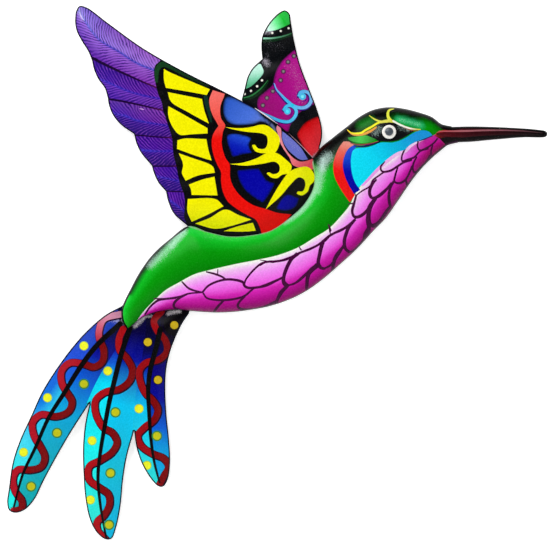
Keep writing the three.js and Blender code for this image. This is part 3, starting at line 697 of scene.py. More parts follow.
class Lines:
    """Points and edges collected for a cut of the plane."""

    def __init__(self):
        self.points, self.edges, self.count = [], [], 0

    def add(self, points, edges=None):
        """Adds points with the given edges, or with a closed ring of edges."""
        size = len(points)
        if edges is None:
            edges = [(i, (i + 1) % size) for i in range(size)]
        self.points.append(np.asarray(points, float))
        self.edges += [(self.count + i, self.count + j) for i, j in edges]
        self.count += size

    def all(self):
        return np.vstack(self.points), self.edges


def compact(places, corners):
    """The same triangles with only the places that they use."""
    used, numbers = np.unique(corners, return_inverse=True)
    return places[used], numbers.reshape(corners.shape)


def border_edges(corners):
    """Directed edges that only one triangle has."""
    pairs = np.vstack([corners[:, [0, 1]], corners[:, [1, 2]], corners[:, [2, 0]]])
    own = {tuple(p) for p in pairs}
    return [(a, b) for a, b in own if (b, a) not in own]


def painted(triangles, patches):
    """Colour, painted highlight and phase at the corners of each triangle, from the topmost patch at its
    middle.
    """
    middles = triangles.mean(axis=1)
    top = np.zeros(len(triangles), int)
    for number, patch in enumerate(patches):
        near = np.ones(len(middles), bool)
        if patch.rings:
            border = np.vstack(patch.rings)
            low, high = border.min(axis=0) - PATCH_MARGIN, border.max(axis=0) + PATCH_MARGIN
            near = np.all((middles > low) & (middles < high), axis=1)
        chosen = np.flatnonzero(near)
        top[chosen[patch.covers(middles[chosen])]] = number
    colours = np.ones((len(triangles), 3, 4))
    painted_highlight = np.zeros((len(triangles), 3))
    phase = np.zeros((len(triangles), 3))
    for number in np.unique(top):
        mine = top == number
        patch = patches[number]
        spots = triangles[mine].reshape(-1, 2)
        colours[mine, :, :3] = patch.tint(spots).reshape(-1, 3, 3)
        if patch.painted_highlight is not None:
            painted_highlight[mine] = patch.painted_highlight(spots).reshape(-1, 3)
        if patch.phase is not None:
            phase[mine] = patch.phase(spots).reshape(-1, 3)
    return colours, painted_highlight, phase


def without(points, rings):
    """Which points lie in none of the rings."""
    clear = np.ones(len(points), bool)
    for ring in rings:
        clear &= ~inside(points, ring)
    return clear


def cut_front(outline, hole_rings, rings, patches):
    """The front's places and triangles, cut along its rim, its holes and the borders of its paint."""
    lines = Lines()
    lines.add(outline)
    for depth in rings:
        lines.add(*inset_paths(outline, depth))
    for ring in hole_rings:
        lines.add(ring)
    for patch in patches:
        for ring in patch.rings:
            lines.add(ring)
    spread = hex_grid(outline.min(axis=0), outline.max(axis=0), FRONT_GRID)
    spread = spread[inside(spread, outline)]
    spread = spread[distance(spread, outline, closed=True) > rings[-1] + FRONT_MARGIN]
    lines.add(spread, [])
    places, corners = cut_plane(*lines.all())
    middles = places[corners].mean(axis=1)
    return compact(places, corners[inside(middles, outline) & without(middles, hole_rings)])


def cut_back(outline, holes, rings, rim_places, rim_edges):
    """The back's places and triangles, within the edges of the front's rim."""
    lines = Lines()
    lines.add(rim_places, rim_edges)
    spread = hex_grid(outline.min(axis=0), outline.max(axis=0), BACK_GRID)
    spread = spread[inside(spread, outline)]
    away = distance(spread, outline, closed=True) > BACK_MARGIN
    for centre, radius in holes:
        away &= np.hypot(*(spread - centre).T) > radius + BACK_MARGIN
    lines.add(spread[away], [])
    for depth in rings[1:]:
        lines.add(*inset_paths(outline, depth))
    places, corners = cut_plane(*lines.all(), merge=BACK_MERGE_DISTANCE)
    starts, ends = (rim_places[list(numbers)] for numbers in zip(*rim_edges))
    return compact(places, corners[within_edges(places[corners].mean(axis=1), starts, ends)])


def write_paint(mesh, colours, painted_highlight, phase):
    """Puts the paint on the front's corners, which come first. All other corners keep zeros."""
    loops = len(mesh.loops)
    painted_loops = painted_highlight.size
    values = np.zeros((loops, 4))
    values[:painted_loops] = colours.reshape(-1, 4)
    mesh.color_attributes.new("paint", "FLOAT_COLOR", "CORNER").data.foreach_set("color", values.ravel())
    for label, table in (("painted_highlight", painted_highlight), ("phase", phase)):
        amounts = np.zeros(loops)
        amounts[:painted_loops] = table.ravel()
        mesh.attributes.new(label, "FLOAT", "CORNER").data.foreach_set("value", amounts)


def painted_piece(name, outline, holes, rings, surface, offset, patches, materials):
    """A sheet with a painted front, a plain back and a cut edge between them.

    surface(points) gives the front's depth and normal, and offset(points, depth, normal) the places of the
    back's points, in drawing x, y and depth."""
    hole_rings = [circle(centre, radius) for centre, radius in holes]
    places, corners = cut_front(outline, hole_rings, rings, patches)
    depth, normal = surface(places)
    rim_edges = border_edges(corners)
    rim = sorted({a for edge in rim_edges for a in edge})
    number = {a: k for k, a in enumerate(rim)}
    numbered_edges = [(number[a], number[b]) for a, b in rim_edges]
    back_places, back_corners = cut_back(outline, holes, rings, places[rim], numbered_edges)
    back_corners = back_corners[:, ::-1]
    back_depth, back_normal = surface(back_places)

    tree = KDTree(len(back_places))
    for k, (x, y) in enumerate(back_places):
        tree.insert((x, y, 0), k)
    tree.balance()
    shift = len(places)
    twin = {a: shift + tree.find((*places[a], 0))[1] for a in rim}
    rim_faces = [list(dict.fromkeys((b, a, twin[a], twin[b]))) for a, b in rim_edges]
    vertices = np.vstack([np.column_stack([places, depth]), offset(back_places, back_depth, back_normal)])
    faces = corners.tolist() + (back_corners + shift).tolist() + rim_faces
    piece = new_piece(name, vertices, faces, materials)

    mesh = piece.data
    counts = (len(corners), len(back_corners), len(rim_faces))
    mesh.polygons.foreach_set("material_index", np.repeat([0, 1, 2], counts))
    mesh.polygons.foreach_set("use_smooth", np.repeat([True, True, False], counts))
    write_paint(mesh, *painted(places[corners], patches))
    normals = np.zeros((len(mesh.loops), 3))
    normals[:corners.size] = turn(normal[corners.ravel()])
    normals[corners.size:corners.size + back_corners.size] = -turn(back_normal[back_corners.ravel()])
    mesh.normals_split_custom_set(normals.tolist())
    mesh.validate()
    return piece


def plate(polygon, holes, within, low, high):
    """A flat plate between two depths, cut to a ring that it may not pass, with round holes."""
    hole_rings = [circle(centre, radius) for centre, radius in holes]
    lines = Lines()
    for ring in (polygon, within, *hole_rings):
        lines.add(ring)
    places, corners = cut_plane(*lines.all())
    middles = places[corners].mean(axis=1)
    kept = inside(middles, polygon) & inside(middles, within) & without(middles, hole_rings)
    places, corners = compact(places, corners[kept])
    size = len(places)
    vertices = np.vstack([np.column_stack([places, np.full(size, depth)]) for depth in (high, low)])
    sides = [(b, a, size + a, size + b) for a, b in border_edges(corners)]
    return vertices, corners.tolist() + (corners[:, ::-1] + size).tolist() + sides


def eased(profile, ease=EASE):
    """The profile with its corners rounded, apart from those on the axis and at its ends."""
    out = [profile[0]]
    for before, corner, after in zip(profile, profile[1:], profile[2:]):
        corner = np.asarray(corner, float)
        if corner[0] < 1e-6:
            out.append(tuple(corner))
            continue
        ends = []
        for other in (before, after):
            way = np.asarray(other, float) - corner
            length = np.linalg.norm(way)
            ends.append(corner + way / max(length, 1e-9) * min(ease, 0.45 * length))
        for t in (0, 0.33, 0.67, 1):
            out.append(tuple((1 - t) ** 2 * ends[0] + 2 * t * (1 - t) * corner + t * t * ends[1]))
    return out + [profile[-1]]


def domed(radius, base, height, count=7):
    """The points of a rounded head, from its rim to the axis."""
    angles = np.linspace(0, math.pi / 2, count)[:-1]
    return [*((radius * math.cos(a), base + height * math.sin(a)) for a in angles), (0.0, base + height)]


def turned(profile, sides=LATHE_SIDES):
    """A turned solid from a profile of (radius, height)."""
    angles = np.linspace(0, math.tau, sides, endpoint=False)
    vertices, rings = [], []
    for radius, height in profile:
        first = len(vertices)
        if radius < 1e-6:
            vertices.append((0.0, 0.0, height))
            rings.append([first] * sides)
        else:
            vertices += [(radius * math.cos(a), radius * math.sin(a), height) for a in angles]
            rings.append([first + k for k in range(sides)])
    faces = []
    for one, two in zip(rings, rings[1:]):
        for k in range(sides):
            face = [one[k], one[(k + 1) % sides], two[(k + 1) % sides], two[k]]
            face = list(dict.fromkeys(face))
            if len(face) > 2:
                faces.append(face)
    return np.array(vertices), faces


# The rounded end of a wire: how far out and how wide each ring is, as shares of its bulge and its radius
WIRE_END = [(0.95, 0.3), (0.7, 0.7)]
WIRE_BULGE = 0.6
FIRST_SIDE = (0.3, 0.2, 1.0)


def tube(path, radius):
    """A round wire along a path, with rounded ends."""
    path = np.asarray(path, float)
    last = len(path) - 1
    ahead = np.gradient(path, axis=0)
    ahead /= np.linalg.norm(ahead, axis=1)[:, None]
    side = np.cross(ahead[0], FIRST_SIDE)
    stops = [(0, -out, share) for out, share in WIRE_END]
    stops += [(k, 0, 1) for k in range(last + 1)]
    stops += [(last, out, share) for out, share in WIRE_END[::-1]]
    vertices, faces = [], []
    for k, out, share in stops:
        side = side - (side @ ahead[k]) * ahead[k]
        side /= np.linalg.norm(side)
        other = np.cross(ahead[k], side)
        centre = path[k] + out * radius * WIRE_BULGE * ahead[k]
        for a in np.linspace(0, math.tau, WIRE_SIDES, endpoint=False):
            vertices.append(centre + radius * share * (math.cos(a) * side + math.sin(a) * other))
    for start in range(0, (len(stops) - 1) * WIRE_SIDES, WIRE_SIDES):
        for j in range(WIRE_SIDES):
            a, b = start + j, start + (j + 1) % WIRE_SIDES
            faces.append([a, b, b + WIRE_SIDES, a + WIRE_SIDES])
    faces.append(list(range(WIRE_SIDES))[::-1])
    faces.append(list(range(len(vertices) - WIRE_SIDES, len(vertices))))
    return np.array(vertices), faces


def joined(*solids):
    """One solid from several."""
    vertices, faces, count = [], [], 0
    for points, own in solids:
        vertices.append(points)
        faces += [[count + k for k in face] for face in own]
        count += len(points)
    return np.vstack(vertices), faces


def new_piece(name, vertices, faces, materials):
    """An object from vertices in drawing x, y and depth."""
    mesh = bpy.data.meshes.new(name)
    mesh.from_pydata(place(vertices[:, :2], vertices[:, 2]).tolist(), [], faces)
    for material in materials:
        mesh.materials.append(material)
    piece = bpy.data.objects.new(name, mesh)
    bpy.context.scene.collection.objects.link(piece)
    return piece


def small_piece(name, solid, material):
    """A piece of one material, from a solid, with its sharp edges kept."""
    piece = new_piece(name, *solid, [material])
    mesh = piece.data
    mesh.polygons.foreach_set("use_smooth", [True] * len(mesh.polygons))
    mesh.set_sharp_from_angle(angle=math.radians(SHARP_EDGE))
    mesh.validate()
    return piece


def stands_for(piece, slot, *nodes):
    """Sets the piece on the body, in the place of the nodes that it shows."""
    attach(piece, "root")
    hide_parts(*nodes)


# Materials

BARB_GAP = "#200670"
BARB_LIGHT = "#b45cf0"


# Noise textures, as (scale, detail)
GRAIN = (1100, 3)
BARB_WANDER = (300, 2)
BARB_PATCHES = (170, 1)
HIGHLIGHT_SPECKLE = (2400, 1)
COAT_DETAIL = 4

ENAMEL_BUMP = (0.22, 0.0002)
ENAMEL_SPECULAR = 0.06
COAT_BUMP_REACH = 0.0003
GLOSS_SPREAD = 0.1
LEAST_ROUGHNESS = 0.05


def new_material(name):
    """A material with nodes, and its shader's node."""
    material = bpy.data.materials.new(name)
    material.use_nodes = True
    return material, material.node_tree.nodes["Principled BSDF"]


class Wiring:
    """Short ways to add the nodes that a material needs."""

    def __init__(self, material):
        self.nodes, self.links = material.node_tree.nodes, material.node_tree.links

    def put(self, value, socket):
        if isinstance(value, bpy.types.NodeSocket):
            self.links.new(value, socket)
        else:
            socket.default_value = value

    def node(self, kind, *values, **named):
        """A node with values or links put into its inputs, in their order or by their names."""
        node = self.nodes.new(kind)
        for value, socket in zip(values, node.inputs):
            self.put(value, socket)
        for label, value in named.items():
            self.put(value, node.inputs[label])
        return node

    def attribute(self, name, output="Fac"):
        node = self.node("ShaderNodeAttribute")
        node.attribute_name = name
        return node.outputs[output]

    def noise(self, scale, detail):
        on_piece = self.node("ShaderNodeTexCoord").outputs["Object"]
        node = self.node("ShaderNodeTexNoise", Vector=on_piece, Scale=scale, Detail=detail)
        return node.outputs["Fac"]

    def math(self, operation, *values):
        node = self.node("ShaderNodeMath", *values)
        node.operation = operation
        return node.outputs["Value"]

    def ranged(self, value, low, high, to_low, to_high):
        return self.node("ShaderNodeMapRange", value, low, high, to_low, to_high).outputs["Result"]

    def mix(self, factor, first, second, blend_type="MIX"):
        node = self.node("ShaderNodeMix")
        node.data_type = "RGBA"
        node.blend_type = blend_type
        for label, item in zip(("Factor", "A", "B"), (factor, first, second)):
            self.put(item, next(s for s in node.inputs if s.name == label and s.enabled))
        return next(s for s in node.outputs if s.enabled)

    def bump(self, height, strength, reach):
        return self.node("ShaderNodeBump", Height=height, Strength=strength, Distance=reach).outputs["Normal"]


def opaque(colour):
    return (*linear(colour), 1)


def enamel(name, highlight_colour):
    """Semi-gloss enamel whose colour is painted on the mesh, with fine grain and painted highlights as pale
    speckle.
    """
    material, shader = new_material(name)
    wire = Wiring(material)
    grain = wire.noise(*GRAIN)

    phase = wire.attribute("phase")
    wavy = wire.math("MULTIPLY_ADD", wire.noise(*BARB_WANDER), 0.9, phase)
    wave = wire.math("SINE", wire.math("MULTIPLY", wavy, math.tau))
    ragged = wire.math("MULTIPLY_ADD", grain, 2.4, wave)
    patchy = wire.ranged(wire.noise(*BARB_PATCHES), 0.35, 0.65, 0.35, 1.0)
    feathered = wire.math("MULTIPLY", wire.math("GREATER_THAN", phase, 1.0), patchy)
    gap = wire.math("MULTIPLY", wire.ranged(ragged, 1.0, 2.0, 0.0, 0.9), feathered)
    light = wire.math("MULTIPLY", wire.ranged(ragged, 0.9, 0.0, 0.0, 0.4), feathered)
    barbed = wire.mix(gap, wire.attribute("paint", "Color"), opaque(BARB_GAP))
    barbed = wire.mix(light, barbed, opaque(BARB_LIGHT))

    shade = wire.ranged(grain, 0.3, 0.7, 0.93, 1.07)
    toned = wire.mix(1.0, barbed, shade, "MULTIPLY")
    spread = wire.math("MULTIPLY_ADD", wire.noise(*HIGHLIGHT_SPECKLE), 1.3, wire.attribute("painted_highlight"))
    cover = wire.ranged(spread, 1.0, 1.75, 0.0, 0.9)
    wire.put(wire.mix(cover, toned, opaque(highlight_colour)), shader.inputs["Base Color"])
    wire.put(wire.ranged(grain, 0.0, 1.0, 0.2, 0.34), shader.inputs["Roughness"])
    wire.put(wire.bump(grain, *ENAMEL_BUMP), shader.inputs["Normal"])
    shader.inputs["Specular IOR Level"].default_value = ENAMEL_SPECULAR
    return material


def coated(name, colour, roughness, metallic=0.0, scale=900, strength=0.2, variation=0.12):
    """A plain finish with its own grain: enamel, plated steel or rubber."""
    material, shader = new_material(name)
    wire = Wiring(material)
    grain = wire.noise(scale, COAT_DETAIL)
    base = linear(colour)
    dark, pale = base * (1 - variation), np.minimum(base * (1 + variation), 1)
    tone = wire.mix(wire.ranged(grain, 0.3, 0.7, 0.0, 1.0), (*dark, 1), (*pale, 1))
    glossiest, dullest = max(roughness - GLOSS_SPREAD, LEAST_ROUGHNESS), roughness + GLOSS_SPREAD
    wire.put(tone, shader.inputs["Base Color"])
    wire.put(wire.ranged(grain, 0.0, 1.0, glossiest, dullest), shader.inputs["Roughness"])
    wire.put(wire.bump(grain, strength, COAT_BUMP_REACH), shader.inputs["Normal"])
    shader.inputs["Metallic"].default_value = metallic
    return material


BACK_COAT = coated("back_coat", "#2b2d30", 0.45, scale=700, strength=0.3)
CUT_STEEL = coated("cut_steel", "#c9ccce", 0.4, metallic=0.7, scale=1500)
ZINC = coated("zinc_plate", "#aeb2b5", 0.35, metallic=1.0, scale=1200, strength=0.15)
RUBBER = coated("bumper_rubber", "#26272a", 0.8, scale=1600, strength=0.5)
EYE_WHITE = coated("eye_white", "#fbf8f2", 0.3, variation=0.03, strength=0.1)
EYE_GREY = coated("eye_grey", "#4a525c", 0.3, metallic=0.2, scale=1600, variation=0.3, strength=0.1)


# The drawing's grids and colours

PHOTO = Grid(0, 0, 1)
WING_GRID = Grid(60, 0, 5.807)
FAR_GRID = Grid(230, 0, 9.22)
HEAD_GRID = Grid(310, 90, 6.533)
BELLY_GRID = Grid(110, 220, 7.127)
BREAST_GRID = Grid(260, 180, 7.84)
TAIL_GRID = Grid(0, 290, 6.173)

BLACK = "#070709"
YELLOW = "#fbf400"
RED = "#f2100a"
NAVY = "#0606a0"


# The near wing: barbed feathers, a row of yellow cells, a red band and blue panels under yellow scrolls

BARB_PITCH = 2.5
BARB_SWEEP = 1.7
BARB_CURVE = 0.05
VANE_REACH = 9.0
VEIN_REACH = 1.2
VANE_RUN_OUT = 40.0
FIRST_PHASE = 100.0


def beside(points, path):
    """Millimetres along a path, and to its left."""
    least = np.full(len(points), np.inf)
    along, aside = np.zeros(len(points)), np.zeros(len(points))
    run = 0.0
    for start, end in zip(path, path[1:]):
        length = np.linalg.norm(end - start)
        unit = (end - start) / length
        t = np.clip((points - start) @ unit, 0, length)
        off = points - start - t[:, None] * unit
        gap = np.hypot(*off.T)
        nearer = gap < least
        least[nearer] = gap[nearer]
        along[nearer] = run + t[nearer]
        aside[nearer] = (unit[0] * off[:, 1] - unit[1] * off[:, 0])[nearer]
        run += length
    return along, aside


def vane(midline, above, below, vein):
    """Tint and barb phase of a feather. A side's colours: inner tip and root, outer tip and root."""
    path = smooth(WING_GRID.mm(midline), PAINT_STEP)
    before = path[0] - (path[1] - path[0]) / PAINT_STEP * VANE_RUN_OUT
    after = path[-1] + (path[-1] - path[-2]) / PAINT_STEP * VANE_RUN_OUT
    whole_path = np.vstack([before, path, after])
    first = np.linalg.norm(path[0] - before)
    length = np.linalg.norm(np.diff(path, axis=0), axis=1).sum()

    def tint(points):
        along, aside = beside(points, whole_path)
        share = (along - first) / length
        out = np.clip(np.abs(aside) / VANE_REACH, 0, 1)[:, None]
        sides = []
        for inner_tip, inner_root, outer_tip, outer_root in (above, below):
            inner = blend(share, [(0, inner_tip), (1, inner_root)])
            outer = blend(share, [(0, outer_tip), (1, outer_root)])
            sides.append(inner * (1 - out) + outer * out)
        near = np.clip(1 - np.abs(aside) / VEIN_REACH, 0, 1)[:, None]
        return np.where((aside > 0)[:, None], *sides) * (1 - near) + blend(share, vein) * near

    def phase(points):
        along, aside = beside(points, whole_path)
        away = np.abs(aside)
        return FIRST_PHASE + (along + BARB_SWEEP * away - BARB_CURVE * away * away) / BARB_PITCH
    return tint, phase


FAR_BELOW = [(900, 1500), (-100, 1500)]
FEATHERS = [
    ([(-90, -90), (900, -90)],
     [(111, 69), (221, 224), (343, 301), (445, 366), (547, 408)],
     ("#9c8cf0", "#a478e0", "#6c54c4", "#a868cc"), ("#a478ec", "#a060d0", "#3a1ca8", "#8430b0")),
    ([(-90, 290), (184, 336), (236, 362), (329, 407), (403, 441), (477, 474), (559, 508), (900, 640)],
     [(233, 460), (303, 489), (384, 525), (466, 550), (559, 570)],
     ("#3e1ca6", "#6a22aa", "#34128a", "#4c148a"), ("#6030be", "#7434b4", "#2c14a0", "#44108a")),
    ([(-90, 560), (280, 575), (420, 600), (595, 640), (900, 690)],
     [(318, 660), (379, 673), (432, 695), (521, 713), (601, 726)],
     ("#3c1cb0", "#661c98", "#603898", "#8038a4"), ("#2c149c", "#4c149c", "#1c0868", "#2c0868")),
    ([(-90, 785), (440, 785), (560, 795), (650, 800), (900, 820)],
     [(463, 869), (543, 877), (641, 877)],
     ("#40109c", "#4a0c98", "#440c94", "#4c1090"), ("#2c0c94", "#4410a0", "#200c60", "#2c0c64")),
    ([(-90, 965), (540, 965), (680, 965), (900, 965)],
     [(566, 1024), (668, 1046)],
     ("#4c14a0", "#380c94", "#44109a", "#340c94"), ("#2c0c90", "#300c8c", "#1c0c70", "#240c70")),
    ([(-90, 1110), (615, 1110), (730, 1115), (900, 1120)],
     [(640, 1165), (720, 1225)],
     ("#5c18a4", "#340c78", "#48109c", "#2c0c78"), ("#30108c", "#1c0864", "#240c80", "#180860")),
]
GROOVE_WIDTHS = [(22, 16, 8), (20, 13, 9), (14, 9, 8), (12, 8), (10, 8)]
FIRST_VEIN = [(0, "#7c84ec"), (0.5, "#3440c0"), (1, "#3c50c8")]
VEIN = [(0, "#3c34c4"), (1, "#2a20b0")]
FEATHER_ENDS = [
    (583, 350), (552, 382), (546, 430), (556, 490), (570, 545), (592, 600), (598, 640), (612, 680),
    (625, 720), (640, 765), (650, 800), (655, 860), (660, 905), (672, 950), (680, 990), (690, 1040),
    (705, 1090), (720, 1130), (725, 1180), (722, 1230), (722, 1270), (735, 1300),
]
CELLS = [
    [(603, 400), (640, 420), (870, 518), (852, 552), (760, 535), (615, 510), (603, 460)],
    [(625, 535), (825, 575), (838, 640), (865, 718), (750, 655), (645, 590)],
    [(630, 617), (700, 655), (857, 745), (857, 775), (765, 780), (695, 782), (650, 730), (628, 665)],
    [(682, 815), (720, 805), (850, 808), (862, 870), (880, 932), (790, 905), (680, 865)],
    [(690, 890), (760, 915), (885, 965), (900, 1003), (800, 1020), (730, 1050), (708, 1005), (715, 955)],
    [(748, 1072), (820, 1045), (897, 1026), (915, 1135), (765, 1132), (760, 1100)],
    [(742, 1155), (905, 1157), (950, 1198), (860, 1245), (765, 1288), (740, 1230)],
    [(785, 1298), (870, 1265), (960, 1217), (1040, 1250), (1112, 1275), (1000, 1310), (900, 1328)],
    [(950, 1342), (1030, 1315), (1120, 1293), (1137, 1340), (1050, 1345)],
]
RED_BAND = [
    (887, 523), (867, 579), (872, 627), (887, 671), (908, 708), (921, 732), (900, 760), (885, 793),
    (881, 838), (892, 900), (915, 960), (935, 1000), (935, 1050), (945, 1110), (975, 1170), (1030, 1215),
    (1090, 1250), (1135, 1275), (1160, 1320), (1172, 1360), (1260, 1330), (1345, 1245), (1260, 1235),
    (1200, 1215), (1120, 1190), (1050, 1140), (1005, 1080), (988, 1030), (985, 955), (960, 915), (939, 838),
    (941, 801), (948, 760), (960, 729), (937, 690), (930, 653), (934, 608), (948, 571), (957, 545),
]
PANEL_SHADE = "#061018"
# The first panel turns paler and greyer towards its right end: a painted highlight.
PANELS = [
    ([(956, 575), (972, 560), (1010, 566), (1060, 590), (1140, 632), (1182, 676), (1224, 707),
      (1252, 735), (1262, 775), (1250, 772), (1229, 745), (1203, 720), (1166, 708), (1130, 720),
      (1078, 727), (1022, 727), (985, 716), (962, 694), (948, 655), (948, 610)],
     ((950, 600), (1255, 760), (0, "#2a5ac8"), (0.5, "#4a74de"), (0.8, "#6a84d8"), (1, "#8c94b8")), 1.6),
    ([(968, 784), (1000, 776), (1060, 782), (1114, 800), (1098, 840), (1104, 868), (1120, 888),
      (1060, 898), (1000, 914), (982, 860), (970, 820)],
     ((1050, 785), (1010, 905), (0, "#2450d8"), (0.5, "#0820b8"), (1, "#0404a8")), 0.9),
    ([(1025, 990), (1100, 980), (1155, 978), (1175, 1010), (1200, 1045), (1250, 1065), (1215, 1130),
      (1180, 1180), (1130, 1150), (1080, 1110), (1045, 1060)],
     ((1050, 1000), (1200, 1150), (0, "#0202a2"), (1, "#0808a8")), 0.9),
    ([(1250, 1212), (1290, 1150), (1320, 1128), (1390, 1150), (1370, 1200), (1310, 1225)],
     ((1250, 1200), (1390, 1150), (0, NAVY), (1, "#040490")), 0.9),
]
SCROLLS = [
    [(960, 738), (1040, 745), (1110, 738), (1160, 725), (1200, 728), (1240, 755), (1275, 800), (1270, 850),
     (1245, 890), (1215, 890), (1160, 888), (1130, 875), (1115, 845), (1130, 840), (1150, 862), (1190, 862),
     (1205, 830), (1200, 790), (1170, 775), (1080, 765), (1000, 750)],
    [(985, 953), (1060, 945), (1140, 920), (1200, 890), (1260, 890), (1310, 925), (1345, 965), (1330, 1005),
     (1290, 1015), (1260, 1035), (1225, 1030), (1200, 1008), (1210, 1000), (1240, 1012), (1270, 1000),
     (1275, 965), (1250, 940), (1180, 950), (1080, 962)],
    [(1195, 1215), (1240, 1130), (1290, 1050), (1330, 1000), (1380, 975), (1440, 970), (1475, 1010),
     (1475, 1050), (1450, 1080), (1440, 1110), (1405, 1135), (1375, 1125), (1380, 1112), (1410, 1110),
     (1425, 1070), (1415, 1040), (1385, 1030), (1340, 1070), (1280, 1140)],
]
ROSE_BAND = [
    (1262, 726), (1256, 745), (1264, 775), (1275, 821), (1300, 868), (1332, 915), (1352, 958), (1400, 975),
    (1468, 985), (1480, 940), (1465, 922), (1431, 934), (1395, 938), (1358, 920), (1327, 889), (1301, 847),
    (1287, 801), (1285, 759), (1280, 740),
]
LEAF = [
    (1292, 762), (1340, 800), (1400, 860), (1440, 925), (1400, 928), (1350, 895), (1310, 850), (1290, 800),
]
# Painted highlights, laid on as pale speckle: near the feathers' tip and on the leaf.
TIP_HIGHLIGHT = ([(105, 60), (130, 110)], 45, 0.5)
LEAF_HIGHLIGHT = ([(1310, 790), (1390, 880)], 50, 0.36)
GROOVE_STOPS = [(0, "#150032"), (0.75, "#1e0034"), (1, "#4a1038")]
VEIN_WIDTHS = (2, 3, 3)
FEATHER_GLINTS = [
    ("#cfc0f0", (3, 9, 3), [(114, 70), (123, 96), (138, 118)]),
    ("#d0a0dc", (3, 7, 3), [(462, 631), (474, 633), (488, 636)]),
]
CELL_FIELD = FEATHER_ENDS + [(735, 1500), (1700, 1400), (1700, 150), (700, 150)]
# A greenish tone on the black field: a painted highlight by the first cell, and a painted shadow along the
# red band.
CELL_SHEEN_AND_SHADOW = [
    (((590, 390), (850, 480), (0, "#16401f"), (1, "#0c2412")), (20, 34, 30, 16),
     [(560, 470), (566, 400), (600, 372), (720, 425), (860, 500)]),
    ("#0c3024", (22, 26, 20, 10), [(845, 556), (852, 597), (867, 653), (878, 708)]),
]
# The red band is painted salmon at its top, a painted highlight, and pure red below.
RED_HIGHLIGHT_RAMP = ((900, 560), (930, 800), (0, "#f87068"), (0.45, "#f85a50"), (0.75, "#f0443a"), (1, RED))
ROSE_TINT = ((1262, 740), (1440, 960), (0, "#e88898"), (0.5, "#f09098"), (1, "#f05060"))
LIT_EDGE = [(153, 261.6), (164, 254.2), (169, 250.8)]


def near_wing_paint():
    grid = WING_GRID
    tip_highlight = painted_highlight_along(grid, TIP_HIGHLIGHT)
    veins = [FIRST_VEIN] + [VEIN] * (len(FEATHERS) - 1)
    patches = [ground(BLACK)]
    for (upper, midline, above, below), vein in zip(FEATHERS, veins):
        tint, phase = vane(midline, above, below, vein)
        feather = region(grid, tint, upper + FAR_BELOW, tip_highlight, phase)
        feather.rings += band(smooth(grid.mm(midline), PAINT_STEP), (2 * VEIN_REACH,), tint).rings
        patches.append(feather)
    for (upper, *_), widths in zip(FEATHERS[1:], GROOVE_WIDTHS):
        patches.append(stroke(grid, (upper[1], upper[-2], *GROOVE_STOPS), widths, upper[:-1]))
    for (_, midline, *_), vein in zip(FEATHERS, veins):
        patches.append(stroke(grid, (midline[0], midline[-1], *vein), VEIN_WIDTHS, midline))
    patches += strokes(grid, FEATHER_GLINTS)
    patches.append(region(grid, BLACK, CELL_FIELD))
    patches += strokes(grid, CELL_SHEEN_AND_SHADOW)
    patches += [region(grid, YELLOW, cell) for cell in CELLS]
    patches.append(region(grid, RED_HIGHLIGHT_RAMP, RED_BAND))
    patches += [soft_region(grid, tint, ring, PANEL_SHADE, reach) for ring, tint, reach in PANELS]
    patches.append(region(grid, ROSE_TINT, ROSE_BAND))
    patches.append(region(grid, "#6a72d0", LEAF, painted_highlight_along(grid, LEAF_HIGHLIGHT)))
    patches += [region(grid, YELLOW, ring, sharp=SHARP_SCROLL) for ring in SCROLLS]
    patches.append(edge_line(near_wing_outline, EDGE_LINE, "#0a0618"))
    patches.append(band(smooth(LIT_EDGE, PAINT_STEP), (0.4, 0.8, 0.8, 0.6), "#f6eef6"))
    patches.append(band(smooth([LIT_EDGE[-1], *NEAR_WING[0][10:]], PAINT_STEP), (0.6,), "#d8a8b4"))
    return patches


# The far wing: mint lobes behind beaded black bands, a magenta field with studs and cyan scrolls

MINT_TIP = [
    (250, 300), (320, 290), (380, 284), (440, 270), (500, 245), (560, 215), (640, 190), (640, 0), (250, 0),
]
MINT_LOBE = [(285, 590), (220, 580), (100, 640), (100, 850), (140, 822), (200, 790), (290, 700), (310, 660)]
MAGENTA_FIELD = [
    (600, 455), (530, 510), (480, 560), (430, 640), (405, 720), (395, 775), (330, 840), (270, 890),
    (250, 940), (255, 1000), (300, 1110), (450, 1200), (540, 1215), (560, 1150), (620, 1060), (740, 975),
    (800, 960), (770, 830), (680, 620), (640, 440),
]
RED_OVAL = [
    (800, 1075), (860, 1070), (900, 1200), (870, 1330), (790, 1430), (720, 1480), (660, 1330), (620, 1240),
    (650, 1180), (700, 1125),
]
STUDS = [(590, 515), (535, 570), (492, 658), (467, 740), (395, 840), (340, 902), (303, 970)]
UPPER_SCROLL = [
    (407, 768), (428, 822), (477, 879), (535, 937), (584, 974), (650, 994), (708, 982), (742, 945),
    (749, 900), (728, 859), (687, 842), (650, 852), (640, 879),
]
LOWER_SCROLL = [
    (245, 1005), (305, 1040), (362, 1068), (428, 1101), (485, 1118), (543, 1120), (584, 1093), (609, 1052),
    (610, 1019), (592, 990), (555, 971), (518, 982), (500, 1011),
]
SCROLL_HEADS = [(668, 889, 33, "#80f0ff"), (529, 1025, 31, "#50e8ff")]
SCROLL_TURNS = [
    [(701, 874), (712, 896), (704, 918), (684, 932), (658, 934)],
    [(560, 1004), (572, 1026), (568, 1048), (550, 1064), (526, 1068)],
]
